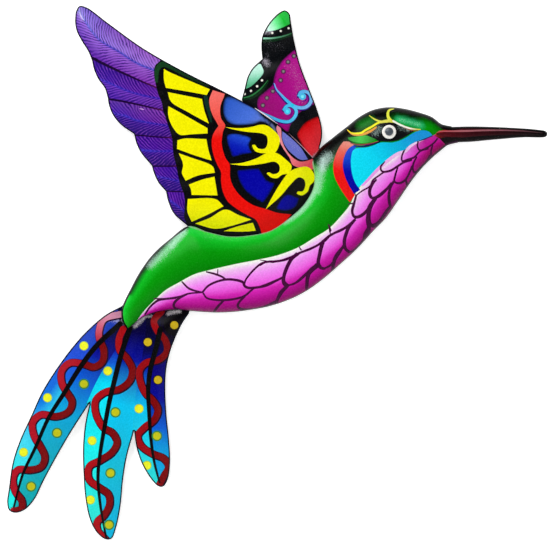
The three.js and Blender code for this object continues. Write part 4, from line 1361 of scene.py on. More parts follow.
# The mint fields pale to near white at one end: the print's mint, with a painted highlight.
MINT_TIP_TINT = ((340, 240), (510, 150), (0, "#d4fbec"), (0.45, "#6aec92"), (0.8, "#1cc436"), (1, "#2cc048"))
MINT_LOBE_TINT = ((230, 640), (250, 770), (0, "#c4f4e2"), (0.6, "#84d4b2"), (1, "#54b080"))
MINT_TIP_LINES = [
    (((300, 350), (570, 300), (0, "#9ce0c0"), (0.4, "#5a9c78"), (1, "#2c6a3c")), (17, 14, 10),
     [(296, 352), (400, 350), (500, 330), (580, 300)]),
]
MINT_TIP_SHADE = [(300, 372), (420, 362), (580, 312)]
MINT_LOBE_LINES = [
    ("#0a2c14", (16, 32, 20), [(105, 918), (215, 890), (300, 820), (352, 745)]),
    ("#2c7c40", (8, 13, 11, 4), [(110, 905), (200, 878), (282, 818), (348, 740)]),
]
TIP_PEARLS = [(390, 303), (468, 285), (540, 258)]
DULL_PEARL = (340, 278)
LOBE_PEARLS = [(133, 865), (193, 837), (250, 795), (295, 740)]
MAGENTA_CORE = [(590, 560), (620, 700), (640, 820)]
MAGENTA_STOPS = [(0, "#b81490"), (130, "#aa0c84"), (280, "#a00678")]
UPPER_CYAN = ((407, 768), (749, 930), (0, "#78a8f0"), (0.5, "#38b8f0"), (1, "#80c0f8"))
LOWER_CYAN = ((245, 1005), (610, 1052), (0, "#78a8f0"), (0.6, "#38b8f0"), (1, "#58c8f4"))
SCROLL_DOT = (576, 970)
OVAL_TINT = ((700, 1150), (860, 1340), (0, "#d00006"), (1, "#f03440"))
# Painted highlights, laid on as pale speckle: on the black bands, the mint tip, the magenta field and the red
# oval.
FAR_WING_HIGHLIGHTS = [
    ([(322, 560), (345, 590)], 62, 0.7), ([(340, 500), (356, 600)], 45, 0.35),
    ([(300, 302), (385, 290)], 42, 0.72), ([(330, 400), (470, 430)], 110, 0.22),
]
MINT_TIP_HIGHLIGHT = ([(300, 290), (360, 190), (440, 110)], 70, 0.4)
MAGENTA_HIGHLIGHT = ([(560, 620), (640, 760), (660, 940)], 150, 0.3)
OVAL_HIGHLIGHT = ([(880, 1310), (835, 1400), (745, 1480)], 60, 0.8)


def shifted(path, right, down):
    return [(x + right, y + down) for x, y in path]


def far_wing_paint():
    grid = FAR_GRID
    far_highlights = painted_highlight_along(grid, *FAR_WING_HIGHLIGHTS)
    magenta = halo(grid, MAGENTA_CORE, *MAGENTA_STOPS)
    return [
        ground("#06080c", far_highlights),
        region(grid, MINT_TIP_TINT, MINT_TIP, painted_highlight_along(grid, MINT_TIP_HIGHLIGHT)),
        stroke(grid, "#0c2c16", (40, 34, 26), MINT_TIP_SHADE, far_highlights),
        *strokes(grid, MINT_TIP_LINES),
        region(grid, MINT_LOBE_TINT, MINT_LOBE),
        *strokes(grid, MINT_LOBE_LINES),
        *dots(grid, "#f2f0e4", 10, *TIP_PEARLS),
        *dots(grid, "#9aa09c", 7, DULL_PEARL),
        *dots(grid, "#f2f0e4", 11, *LOBE_PEARLS),
        soft_region(grid, magenta, MAGENTA_FIELD, "#4c0448", 1.2, painted_highlight_along(grid, MAGENTA_HIGHLIGHT)),
        *dots(grid, "#5c1450", 24, *STUDS),
        *dots(grid, "#6c6468", 15, *STUDS),
        *dots(grid, "#948c8c", 7, *STUDS),
        stroke(grid, "#321078", (16, 44, 48, 44), shifted(UPPER_SCROLL, -4, 4)),
        stroke(grid, "#321078", (14, 40, 42, 40), shifted(LOWER_SCROLL, -3, 3)),
        stroke(grid, UPPER_CYAN, (8, 28, 31, 30), UPPER_SCROLL),
        stroke(grid, LOWER_CYAN, (6, 26, 30, 28), LOWER_SCROLL),
        *dots(grid, "#28d0f0", 14, SCROLL_DOT),
        *[dot for x, y, radius, _ in SCROLL_HEADS for dot in dots(grid, "#48c0f0", radius, (x, y))],
        *[dot for x, y, _, shine in SCROLL_HEADS for dot in dots(grid, shine, 15, (x, y))],
        *[stroke(grid, "#5c0c8c", (3, 9, 12, 9, 3), path) for path in SCROLL_TURNS],
        soft_region(grid, OVAL_TINT, RED_OVAL, "#5c0000", 1.0, painted_highlight_along(grid, OVAL_HIGHLIGHT)),
        edge_line(far_wing_outline, EDGE_LINE, BLACK),
    ]


# The tail: three feathers, navy at the root and cyan at the tip, each with a black shaft and a red wave

SHAFTS = [
    [(740, 210), (600, 340), (500, 470), (400, 630), (300, 790), (220, 970), (140, 1140), (85, 1340)],
    [(800, 240), (750, 390), (706, 560), (673, 700), (645, 850), (620, 1000), (605, 1150), (620, 1330),
     (655, 1530)],
    [(990, 240), (960, 370), (930, 480), (915, 600), (920, 750), (930, 900), (950, 1050), (985, 1190)],
]
WAVES = [
    [(740, 150), (640, 180), (610, 260), (616, 310), (640, 370), (632, 440), (580, 475), (510, 455),
     (430, 450), (380, 500), (380, 570), (405, 620), (444, 690), (422, 750), (350, 780), (250, 770),
     (200, 820), (210, 900), (246, 960), (276, 1030), (254, 1090), (190, 1110), (110, 1110), (80, 1160),
     (92, 1240), (134, 1300), (130, 1350), (80, 1365)],
    [(760, 240), (735, 300), (738, 370), (782, 420), (817, 492), (800, 560), (740, 610), (650, 630),
     (590, 680), (590, 760), (640, 850), (692, 880), (722, 940), (692, 1000), (620, 1050), (550, 1090),
     (550, 1170), (615, 1220), (668, 1260), (676, 1320), (642, 1390), (600, 1430), (600, 1480),
     (650, 1540)],
    [(1000, 130), (950, 190), (970, 250), (1020, 310), (1030, 380), (980, 430), (900, 450), (860, 500),
     (870, 580), (900, 640), (942, 680), (974, 740), (952, 800), (890, 850), (850, 900), (870, 960),
     (940, 1010), (1010, 1040), (1040, 1090), (1010, 1150), (980, 1210)],
]
# Beads left of a shaft are painted lit; their copies right of it are painted shaded, darker and olive.
LIT_BEADS = [
    (518, 345), (665, 500), (293, 665), (145, 1002), (568, 930), (558, 1296), (858, 733), (907, 1083),
]
SHADED_BEADS = [(518, 580), (352, 882), (192, 1213), (713, 755), (682, 1130), (673, 1450), (969, 901)]
OCHRE_BEADS = [(975, 555), (1076, 217), (912, 322)]


def two_sided(grid, path, left, right):
    """One tint to the left of a path, and another to its right."""
    middle = smooth(grid.mm(path), SOFT_STEP)

    def tint(points):
        _, aside = beside(points, middle)
        return np.where((aside > 0)[:, None], left(points), right(points))
    return tint


LEFT_SHAFT, CENTRE_SHAFT, RIGHT_SHAFT = SHAFTS
FIRST_CREASE = [(760, 290), (700, 390), (620, 520), (560, 640), (530, 720)]
SECOND_CREASE = [(900, 250), (870, 450), (845, 600), (830, 700), (815, 900)]
# Each feather's half left of its shaft is painted lighter than the half right of it: painted light and shade,
# over the print's fade from navy to cyan.
TAIL_FIELDS = [
    (((600, 220), (90, 1250), (0, "#2040b4"), (0.2, "#2050d8"), (0.5, "#0f7ae4"), (0.72, "#48dcf6"),
      (1, "#28f4ec")), [(700, -50), *LEFT_SHAFT, (60, 1500), (-200, 1500), (-200, -50)]),
    (((700, 260), (160, 1300), (0, "#060440"), (0.15, "#0a129c"), (0.3, "#0c60dc"), (0.5, "#0cb0e4"),
      (0.75, "#18b4cc"), (1, "#14b4bc")),
     [(740, 100), *LEFT_SHAFT, (100, 1600), (500, 1600), (540, 900), *FIRST_CREASE[::-1], (800, 100)]),
    (((720, 380), (560, 1400), (0, "#0820b4"), (0.08, "#1264e0"), (0.2, "#06e0fc"), (0.6, "#1cf4f4"),
      (1, "#30e8dc")),
     [(800, 100), *FIRST_CREASE, (520, 900), (400, 1200), (500, 1700), (660, 1600), *CENTRE_SHAFT[::-1]]),
    (((840, 260), (700, 1400), (0, "#060240"), (0.16, "#0810a0"), (0.3, "#1a94d4"), (0.4, "#04d0ff"),
      (0.75, "#16c8e4"), (1, "#12c0ea")),
     [(800, 100), *CENTRE_SHAFT, (680, 1700), (800, 1400), (815, 900), *SECOND_CREASE[::-1], (900, 100)]),
    (((960, 260), (960, 1180), (0, "#04022c"), (0.13, "#06064c"), (0.24, "#0a10a4"), (0.36, "#1670d8"),
      (0.5, "#08c4f4"), (1, "#2ce4e0")),
     [(900, 100), *SECOND_CREASE, (800, 1200), (985, 1300), *RIGHT_SHAFT[::-1]]),
    (((1060, 300), (1010, 1150), (0, "#08021c"), (0.15, "#0c0264"), (0.45, "#080c96"), (0.65, "#0a60dc"),
      (0.8, "#0aa2e8"), (1, "#10b4f0")),
     [(985, 100), *RIGHT_SHAFT, (1000, 1300), (1300, 1300), (1300, 50)]),
]
ROOT_SHADE = [(1010, 180), (1300, 60), (1300, 330), (1180, 300), (1090, 290), (1020, 250)]
# Painted highlights, laid on as pale speckle, at the tail's root.
ROOT_HIGHLIGHTS = [
    ([(650, 150), (740, 185)], 65, 0.62), ([(832, 225), (868, 190), (892, 166)], 26, 1.0),
    ([(905, 166), (962, 158)], 17, 0.9), ([(1035, 146), (1075, 136), (1108, 132)], 26, 1.0),
]
# The waves' tints on their lit side, left of the shaft; the first one pales to pink at its root as a painted
# highlight.
LIT_WAVE_ROOT = ((690, 170), (600, 330), (0, "#d490ac"), (0.5, "#d25470"), (1, "#b01626"))
WAVE_TINTS = [LIT_WAVE_ROOT, "#ac1018", "#9c0c14"]
BEADS = [
    (LIT_BEADS, "#a8c83c", 29), (LIT_BEADS, "#f2f62c", 25), (SHADED_BEADS, "#3c8c44", 33),
    (SHADED_BEADS, "#cccc1c", 24), (OCHRE_BEADS, "#1c1410", 31), (OCHRE_BEADS, "#d2b420", 25),
]


def tail_paint():
    grid = TAIL_GRID
    root_highlights = painted_highlight_along(grid, *ROOT_HIGHLIGHTS)
    fields = [region(grid, tint, ring, root_highlights) for tint, ring in TAIL_FIELDS]
    # A painted highlight in cyan along the left feather's shaft.
    fields[0].tint = lit_near(fields[0].tint, grid, LEFT_SHAFT[3:6], "#34d4f2", 80)
    patches = [ground("#070530"), *fields, region(grid, "#08060c", ROOT_SHADE, root_highlights)]
    for wave, shaft, lit in zip(WAVES, SHAFTS, WAVE_TINTS):
        # A painted shadow: a dark copy of the wave, shifted to the lower right.
        patches.append(stroke(grid, "#1c0824", (52,), shifted(wave, 3, 3)))
        # Painted shade: dark red right of the shaft, the lit tint left of it.
        red = two_sided(grid, shaft, plain("#80080c"), as_tint(lit, grid))
        patches.append(stroke(grid, red, (40,), wave))
    patches += [stroke(grid, BLACK, (34, 32, 26, 20, 12), shaft) for shaft in SHAFTS]
    for centres, colour, radius in BEADS:
        patches += dots(grid, colour, radius, *centres)
    patches.append(edge_line(tail_outline, EDGE_LINE, "#06101c"))
    return patches


# The body: a green back, a scaled pink breast, and the head with its collars, cheek and brow

BREAST_TOP = [
    (126, 332), (131, 328), (145, 310), (156.3, 298.6), (166, 290), (180, 282), (194, 274.5), (208, 270.5),
    (236, 264), (260, 259.3), (278.4, 255), (298, 247.5), (313.5, 238.2), (329, 228.4), (341, 216),
    (349.3, 205.5), (354, 196), (359, 188), (371, 176), (382, 165.5), (392.6, 158), (401.8, 151.2),
    (408, 146.5), (417, 142.8), (425, 139), (433, 135.5), (438, 134),
]
BREAST_BELOW = [(462, 150), (450, 200), (390, 290), (300, 345), (200, 350), (135, 345)]
CROWN = [
    (60, 392), (90, 365), (160, 310), (240, 240), (330, 165), (430, 125), (520, 112), (620, 122), (720, 155),
    (800, 195), (870, 240),
]
THROAT_SCALES = [
    (7, [(120, 880), (135, 920)]),
    (9, [(90, 980), (150, 940), (230, 900), (290, 850)]),
    (10, [(300, 690), (285, 750), (275, 800), (290, 830), (330, 825), (370, 790), (390, 750), (430, 700)]),
    (10, [(430, 590), (400, 620), (385, 670), (400, 705), (440, 700), (490, 660), (530, 610)]),
    (6, [(300, 690), (340, 660), (390, 630), (410, 590), (450, 560), (480, 540), (520, 530)]),
    (8, [(484, 470), (460, 505), (468, 533), (520, 530), (570, 500), (610, 475), (660, 460)]),
    (7, [(632, 366), (612, 400), (598, 435), (600, 465), (640, 455), (680, 440), (720, 400), (770, 385)]),
    (7, [(704, 338), (700, 370), (715, 395), (760, 380), (810, 345), (830, 320)]),
    (8, [(570, 510), (555, 560), (550, 600), (580, 610), (620, 590), (640, 560), (665, 500)]),
    (8, [(695, 440), (675, 480), (670, 520), (685, 540), (720, 510), (760, 470), (780, 430)]),
    (7, [(800, 360), (790, 400), (790, 440)]),
    (10, [(545, 600), (520, 650), (515, 700), (525, 760)]),
    (12, [(430, 710), (400, 760), (385, 820), (395, 880), (420, 890), (460, 850), (500, 790), (525, 760)]),
    (9, [(625, 590), (640, 640)]),
    (14, [(380, 790), (375, 850), (385, 910), (370, 970)]),
    (13, [(290, 850), (250, 900), (230, 960)]),
]
BELLY_SCALES = [
    (7, [(315, 560), (400, 560), (500, 545), (560, 525), (660, 515)]),
    (8, [(515, 440), (560, 485), (610, 505), (655, 515)]),
    (8, [(690, 370), (750, 385), (800, 405), (825, 422)]),
    (4, [(770, 350), (768, 385)]),
    (10,
     [(660, 515), (700, 470), (760, 440), (820, 425), (880, 425), (950, 445), (960, 470), (985, 483),
      (1050, 480), (1120, 465), (1180, 435), (1240, 405)]),
    (9, [(665, 520), (690, 555), (760, 570), (830, 570), (900, 560), (960, 540), (1020, 490)]),
    (9,
     [(957, 462), (966, 430), (990, 395), (1030, 350), (1080, 310), (1130, 297), (1180, 295), (1260, 280),
      (1310, 255), (1350, 235), (1420, 210), (1480, 180), (1530, 150), (1568, 110)]),
    (4, [(1070, 285), (1130, 295)]),
    (4, [(1345, 190), (1365, 215)]),
    (14, [(1330, 240), (1290, 280), (1260, 340), (1240, 400), (1240, 440), (1265, 465)]),
    (9, [(1265, 465), (1310, 455), (1350, 425), (1400, 380), (1440, 340), (1480, 315)]),
    (14, [(1520, 160), (1500, 220), (1485, 310), (1500, 335)]),
    (9, [(250, 672), (290, 615), (345, 572), (400, 562), (470, 556)]),
    (10, [(555, 525), (490, 560), (460, 590), (455, 615), (470, 630), (520, 650)]),
    (10, [(810, 575), (775, 610), (740, 655)]),
    (11,
     [(960, 545), (925, 580), (910, 610), (925, 630), (980, 640), (1040, 635), (1110, 615), (1190, 575)]),
    (13, [(1260, 470), (1220, 510), (1200, 550), (1185, 590)]),
    (14, [(1480, 330), (1430, 370), (1410, 400), (1400, 490)]),
]
BREAST_SCALES = [
    (8,
     [(0, 670), (60, 640), (100, 645), (180, 625), (250, 600), (310, 575), (350, 555), (400, 535),
      (450, 510), (490, 480), (530, 445), (560, 425), (620, 405), (680, 370), (720, 330), (750, 300)]),
    (5, [(305, 520), (320, 550)]),
    (6, [(540, 375), (550, 420)]),
    (6, [(690, 190), (730, 185)]),
    (14, [(300, 580), (250, 620), (220, 670), (195, 730), (180, 790), (195, 825), (215, 830)]),
    (10, [(215, 830), (290, 800), (350, 750), (400, 700), (440, 660)]),
    (9, [(0, 835), (60, 815), (120, 790), (175, 765)]),
    (15, [(490, 480), (475, 530), (465, 590), (455, 650), (470, 685), (500, 695)]),
    (11, [(500, 695), (550, 670), (590, 620), (630, 560), (655, 510)]),
    (15, [(690, 375), (670, 430), (660, 490), (670, 540), (700, 565)]),
    (11, [(700, 565), (730, 555), (780, 510), (830, 440), (850, 370)]),
    (12, [(735, 180), (720, 240), (735, 285), (765, 290), (810, 265), (860, 210), (900, 150)]),
    (12, [(890, 20), (865, 70), (860, 110), (880, 145), (920, 130), (970, 90), (1020, 45), (1050, 10)]),
    (14,
     [(900, 150), (865, 200), (850, 260), (850, 320), (870, 355), (910, 345), (950, 310), (985, 260),
      (1000, 230)]),
    (15, [(215, 835), (170, 880), (140, 930), (125, 970)]),
    (16, [(450, 670), (400, 700), (375, 760), (365, 850)]),
    (16, [(655, 520), (600, 590), (575, 660), (570, 730)]),
    (14, [(850, 370), (820, 430), (815, 470)]),
    (12, [(1020, 50), (1010, 100), (1010, 170), (1020, 210)]),
]
CHEEK = [
    (298, 384), (368, 377), (418, 363), (450, 348), (487, 344), (532, 346), (578, 335), (615, 319),
    (652, 296), (688, 276), (720, 266), (752, 266), (780, 278), (798, 298), (743, 321), (697, 337),
    (647, 365), (615, 393), (574, 406), (523, 438), (477, 475), (432, 516), (386, 567), (340, 617),
    (315, 640), (290, 600), (270, 530), (266, 460), (278, 400),
]
BLUE_COLLAR = [
    (286, 360), (250, 385), (225, 430), (213, 490), (225, 560), (250, 620), (285, 680), (325, 655),
    (298, 600), (276, 530), (272, 460), (284, 400), (305, 368),
]
RED_COLLAR = [
    (218, 338), (190, 375), (162, 440), (150, 500), (160, 570), (200, 650), (258, 735), (292, 690),
    (256, 620), (231, 560), (219, 490), (231, 430), (256, 385), (285, 360), (255, 340),
]
EYE_PATCH = [
    (362, 297), (412, 256), (458, 216), (507, 207), (551, 212), (587, 228), (624, 248), (661, 262),
    (684, 269), (652, 289), (615, 312), (574, 331), (523, 340), (477, 340), (445, 335), (413, 317),
]
GREEN_STRIPE = [
    (245, 313), (295, 307), (335, 302), (391, 302), (425, 328), (391, 343), (335, 348), (285, 340),
    (255, 327),
]
RIDGE = [(187, 226), (176, 233), (164, 245), (151, 260), (140.5, 274), (130, 292)]
MOUTH_RED = [(812, 300), (824, 282), (842, 270), (870, 263), (1000, 261), (1000, 300), (890, 318), (845, 318)]
MOUTH_TOP = [(845, 212), (850, 238), (860, 256), (885, 262), (1000, 263), (1000, 200), (880, 200)]
MOUTH_BLACK = [(846, 320), (870, 312), (1000, 300), (1000, 380), (905, 372), (880, 352)]


def times(tint, shade):
    return lambda points: tint(points) * shade(points)


# The green back: lighter at the saddle as a painted highlight, darker at the breast, with black shades on the
# head
GREEN_STOPS = [(0, "#2ee854"), (0.2, "#10c226"), (0.5, "#049a07"), (1, "#038004")]
# Painted shade: darker towards the rear ridge's edge, where the dome rolls down.
RIDGE_STOPS = [(0, "#0c1c14"), (2, "#4c7868"), (5, "#ffffff")]
HEAD_SHADES = [
    (CROWN[:6], [(0, "#000000"), (50, "#040504"), (90, "#304838"), (125, "#90c0a0"), (160, "#ffffff")]),
    (CROWN[5:8] + [(680, 142)],
     [(0, "#000000"), (26, "#040804"), (50, "#2c5838"), (90, "#90c890"), (130, "#ffffff")]),
    (CROWN[7:], [(0, "#000000"), (10, "#0c180c"), (28, "#90c090"), (60, "#ffffff")]),
]
# A painted highlight in mint green on the brow.
BROW_HIGHLIGHT = [(398, 119.5), (411, 122.7), (421, 126)]
CROWN_GLEAM = [(335, 232), (395, 206)]
GREEN_SHEEN = [
    ([(328, 157), (323, 164), (320, 172), (318, 182), (316, 190)], 12, 0.75),
    ([(323, 160), (322, 170)], 8, 0.95),
    ([(317, 182), (312, 196), (304, 207), (295, 215), (285, 221)], 8, 0.8),
    ([(184, 231), (178, 238), (171, 246)], 9, 0.85), ([(184, 231), (164, 253), (150, 265)], 10, 0.68),
    ([(400, 120), (411, 123), (419, 125)], 5, 0.45), ([(232, 237), (205, 237)], 7, 0.25),
]

# The breast: pink between its upper border and the belly's edge, darkening to plum at the edge, partly print
# and partly painted shade, with scales drawn in a dark line
PINK_STOPS = [
    (0, "#f4ffe8"), (0.04, "#fbf4fa"), (0.12, "#f6c2f6"), (0.28, "#fa92fa"), (0.5, "#f85ee8"),
    (0.62, "#e024be"), (0.8, "#c00896"), (1, "#7c0454"),
]
THROAT_SHADE = ((570, 470), (770, 400), (0, "#ffffff"), (0.35, "#f4b4f0"), (0.7, "#e070c8"), (1, "#c828a0"))
CHEEK_GLOW = ((743, 321), (386, 567), (0, "#f6dcf8"), (1, "#ee9eee"))
SCALE_LINE = "#44063a"
SCALE_WIDTHS = (1.4, 1.9, 1.6)

# The head's fields and lines
CHEEK_TINT = ((650, 280), (320, 600), (0, "#1898e0"), (0.3, "#0cbce6"), (0.6, "#0cd8f6"), (1, "#0ce2f8"))
RED_COLLAR_TINT = ((230, 350), (180, 520), (0, "#e08878"), (0.35, "#e05a4c"), (1, "#ee1614"))
BLUE_COLLAR_TINT = (
    (300, 380), (250, 600), (0, "#0c4cd0"), (0.4, "#0a3cc8"), (0.7, "#0808a8"), (1, "#0606a0"),
)
GREEN_STRIPE_TINT = ((260, 310), (440, 330), (0, "#2c9c34"), (0.4, "#48c84b"), (1, "#246c2c"))
# The mouth is painted pink at its top and near black at its bottom: a painted highlight and painted shade
# over the red.
MOUTH_TINT = ((830, 262), (860, 318), (0, "#dc707c"), (0.3, "#c42c34"), (0.65, "#780c12"), (1, "#40060a"))
# Painted highlights, laid on as grey speckle, on the eye patch.
EYE_PATCH_HIGHLIGHTS = [([(425, 285), (450, 255)], 60, 0.5), ([(590, 240), (640, 255)], 50, 0.5)]
CHEEK_LINES = [
    (((288, 367), (455, 340), (0, "#101c70"), (0.6, "#0c1048"), (1, "#060608")), (8, 13, 10),
     [(288, 367), (335, 372), (385, 363), (418, 353), (455, 340)]),
    ("#101c64", (4, 8, 6), [(697, 340), (743, 324), (798, 301)]),
]
STRIPE_LINES = [("#8c3048", (4, 9, 9, 4), [(261, 347), (301, 358), (351, 358), (401, 350), (445, 337)])]
EYE_LINES = [
    ("#e8a040", (5, 14, 17, 12), [(246, 266), (275, 290), (335, 293), (395, 270), (430, 246)]),
    ("#f4f020", (4, 12, 14, 13, 12),
     [(243, 260), (272, 282), (332, 282), (358, 266), (404, 241), (441, 218), (477, 207), (514, 205)]),
    ("#dfe048", (4, 13, 15), [(386, 168), (420, 192), (455, 207), (500, 208)]),
    ("#e4e848", (5, 14, 19, 22), [(548, 124), (518, 132), (507, 156), (513, 186), (530, 206)]),
    ("#e0dc54", (16, 20, 14), [(460, 212), (510, 204), (548, 210)]),
    ("#a85030", (4, 7, 4), [(600, 240), (640, 258), (680, 268), (706, 267)]),
    (((652, 253), (700, 259), (0, "#f4f4e8"), (1, "#f0e060")), (13, 12, 11, 5),
     [(542, 205), (578, 225), (615, 241), (652, 253), (688, 258), (720, 260)]),
]


def green_coat(boundary):
    """The tint of the back and the crown, above the breast's border, with painted highlights and painted
    shade.
    """
    green = between(smooth(BODY_UPPER, SOFT_STEP), boundary, *GREEN_STOPS)
    ridge = halo(PHOTO, RIDGE, *RIDGE_STOPS)
    crown, brow, forehead = (halo(HEAD_GRID, path, *stops) for path, stops in HEAD_SHADES)
    green = times(times(green, ridge), times(crown, times(brow, forehead)))
    green = lit_near(green, PHOTO, BROW_HIGHLIGHT, "#2cc478", 5)
    return lit_near(green, HEAD_GRID, CROWN_GLEAM, "#087c18", 46)


def breast_paint(boundary, belly):
    pink = times(between(boundary, belly, *PINK_STOPS), ramp(HEAD_GRID, *THROAT_SHADE))
    patches = [
        region(PHOTO, pink, BREAST_TOP + BREAST_BELOW),
        stroke(HEAD_GRID, CHEEK_GLOW, (14, 44, 44, 30), CHEEK[14:24]),
    ]
    tables = ((HEAD_GRID, THROAT_SCALES), (BELLY_GRID, BELLY_SCALES), (BREAST_GRID, BREAST_SCALES))
    for grid, scales in tables:
        for width, path in scales:
            patches.append(stroke(grid, SCALE_LINE, [share * width for share in SCALE_WIDTHS], path))
    return patches


def head_paint():
    head = HEAD_GRID
    return [
        region(head, RED_COLLAR_TINT, RED_COLLAR),
        region(head, BLUE_COLLAR_TINT, BLUE_COLLAR),
        region(head, CHEEK_TINT, CHEEK),
        *strokes(head, CHEEK_LINES),
        region(head, GREEN_STRIPE_TINT, GREEN_STRIPE),
        *strokes(head, STRIPE_LINES),
        region(head, "#101014", EYE_PATCH, painted_highlight_along(head, *EYE_PATCH_HIGHLIGHTS)),
        *strokes(head, EYE_LINES),
        region(head, MOUTH_TINT, MOUTH_RED),
        region(head, "#0c0306", MOUTH_BLACK),
        region(head, "#060606", MOUTH_TOP),
    ]


def body_paint():
    boundary = smooth(PHOTO.mm(BREAST_TOP), PAINT_STEP)
    belly = smooth(BODY_LOWER, SOFT_STEP)
    return [
        ground(green_coat(boundary), painted_highlight_along(PHOTO, *GREEN_SHEEN)),
        *breast_paint(boundary, belly),
        *head_paint(),
        *beak_stripes(),
        band(smooth(BODY_UPPER[:9], PAINT_STEP), (2.4, 2.4, 1.2), "#04120a"),
        band(smooth(BODY_UPPER[17:], PAINT_STEP), (1.2, 2.0, 2.0), "#04120a"),
        # A painted highlight: a pale mint line along the saddle's edge.
        band(smooth(BODY_UPPER[8:18], PAINT_STEP), (0.9,), "#8fc8a0"),
        band(belly, (0.9,), "#2c0420"),
        band(smooth(BODY_LOWER[17:], PAINT_STEP), (1.0, 2.4, 2.4), "#30042c"),
    ]


BEAK_DARK = ((800, 275), (1540, 275), (0, "#5c0c18"), (0.3, "#3a0a12"), (0.8, "#1c0a0e"), (1, "#0c090a"))
BEAK_SHINE = (
    (800, 275), (1540, 275), (0, "#d4666c"), (0.1, "#c05860"), (0.27, "#a86068"), (0.45, "#985a62"),
    (0.68, "#84505a"), (0.85, "#5c3c42"), (1, "#302628"),
)
BEAK_LINES = [
    (BEAK_DARK, (16, 58, 44, 34, 20), [(830, 290), (900, 288), (1050, 279), (1250, 276), (1480, 286)]),
    (BEAK_SHINE, (6, 12, 11, 9, 7, 4),
     [(842, 271), (890, 270), (1013, 268), (1200, 263), (1400, 268), (1520, 281)]),
]


def beak_stripes():
    return strokes(HEAD_GRID, BEAK_LINES)


def beak_paint():
    return [ground("#090506"), *beak_stripes()]


# The pieces

SHEETS = {}
# The pale colour of each piece's painted highlights.
HIGHLIGHT_COLOURS = {
    "body": "#d4f6ec", "beak_trough": "#f4f6f4",
    "near_wing": "#ccd0dc", "far_wing": "#d4ccdc", "tail_fan": "#f4eef2",
}

body_dome = Dome(
    BODY_UPPER, BODY_LOWER,
    lambda width: BODY_RISE * (width / BODY_WIDEST) ** RISE_POWER, BODY_BACK, BODY_WALL,
)
beak_dome = Dome(
    BEAK_UPPER, BEAK_LOWER,
    lambda width: BEAK_RISE * width / BEAK_WIDEST, BODY_BACK, BEAK_WALL, BEAK_LOFT_PARTS,
)
near_wing_outline = outline_of(NEAR_WING)
far_wing_outline = outline_of(FAR_WING)
tail_outline = outline_of(TAIL_FAN)
body_plan = body_dome.outline[::4]


def rivet_holes(outline):
    """Places and radii of the holes for the rivets that pass through a sheet."""
    return [(np.array(at), RIVET_HOLE_RADIUS) for at in RIVETS.values() if inside(np.array([at]), outline)[0]]


def add_sheet(name, slot, outline, back, rise, covers, grooves, groove, patches):
    pressed = PressedSheet(outline, rise, covers, grooves, groove)
    SHEETS[name] = (back, pressed)

    def surface(points):
        height, normal = pressed.surface(points)
        gap = distance(points, outline, closed=True)
        roll = np.clip(1 - gap / EDGE_ROLL, 0, 1) ** 2
        return back + SHEET + height - EDGE_ROLL * roll, normal

    def offset(points, *_):
        height, _ = pressed.surface(points)
        return np.column_stack([points, back + height])

    piece = painted_piece(
        name + "_sheet", outline, rivet_holes(outline), RIM_RINGS, surface, offset, patches,
        [enamel(name + "_paint", HIGHLIGHT_COLOURS[name]), BACK_COAT, CUT_STEEL],
    )
    stands_for(piece, slot, name)


def add_dome(name, slot, dome, holes, patches, node):
    def surface(points):
        depth, normal, _ = dome.surface(points)
        return depth, normal

    def offset(points, depth, normal):
        _, _, wall = dome.surface(points)
        moved = np.column_stack([points, depth]) - normal * wall[:, None]
        moved[:, 2] = np.maximum(moved[:, 2], dome.back)
        return moved

    piece = painted_piece(
        name, dome.outline[::2], holes, DOME_RINGS, surface, offset, patches,
        [enamel(name + "_paint", HIGHLIGHT_COLOURS[name]), BACK_COAT, BACK_COAT],
    )
    stands_for(piece, slot, node)


eye_base = body_dome.at([EYE_STATION], [EYE_ACROSS])[0]
add_dome("body", "body_enamel", body_dome, [(eye_base[:2], EYE_HOLE_RADIUS)], body_paint(), "body_shell")
add_dome("beak_trough", "beak_enamel", beak_dome, [], beak_paint(), "beak")
add_sheet(
    "near_wing", "near_wing_enamel", near_wing_outline, NEAR_LAYER_BACK, NEAR_WING_RISE,
    [body_plan], NEAR_WING_GROOVES, WING_GROOVE, near_wing_paint(),
)
add_sheet(
    "far_wing", "far_wing_enamel", far_wing_outline, FAR_WING_BACK, FAR_WING_RISE,
    [body_plan, near_wing_outline], FAR_WING_GROOVES, WING_GROOVE, far_wing_paint(),
)
add_sheet(
    "tail_fan", "tail_enamel", tail_outline, NEAR_LAYER_BACK, TAIL_RISE,
    [body_plan], TAIL_GROOVES, TAIL_GROOVE, tail_paint(),
)


def add_lugs():
    """The lugs turned in on the body's rim, which the rivets hold."""
    moved, edges = inset_paths(body_dome.outline[::2], LUG_CLEARANCE)
    within = np.array([moved[i] for i, _ in edges])
    lugs = []
    for lug in LUGS:
        polygon = np.array(lug, float)
        lugs.append(plate(polygon, rivet_holes(polygon), within, BODY_BACK, BODY_BACK + SHEET))
    stands_for(small_piece("body_lugs", joined(*lugs), BACK_COAT), "body_enamel", "body_shell")


def add_tongue():
    """The beak's tongue, which lies on the body's throat lug."""
    polygon = np.array(TONGUE)
    tongue = plate(polygon, rivet_holes(polygon), polygon, TONGUE_BACK, TONGUE_BACK + BEAK_WALL)
    stands_for(small_piece("beak_tongue", tongue, BACK_COAT), "beak_enamel", "beak")


def standing_at(at, profile):
    """A solid turned from a profile, on an axis through a point of the drawing."""
    vertices, faces = turned(profile)
    vertices[:, :2] += at
    return vertices, faces


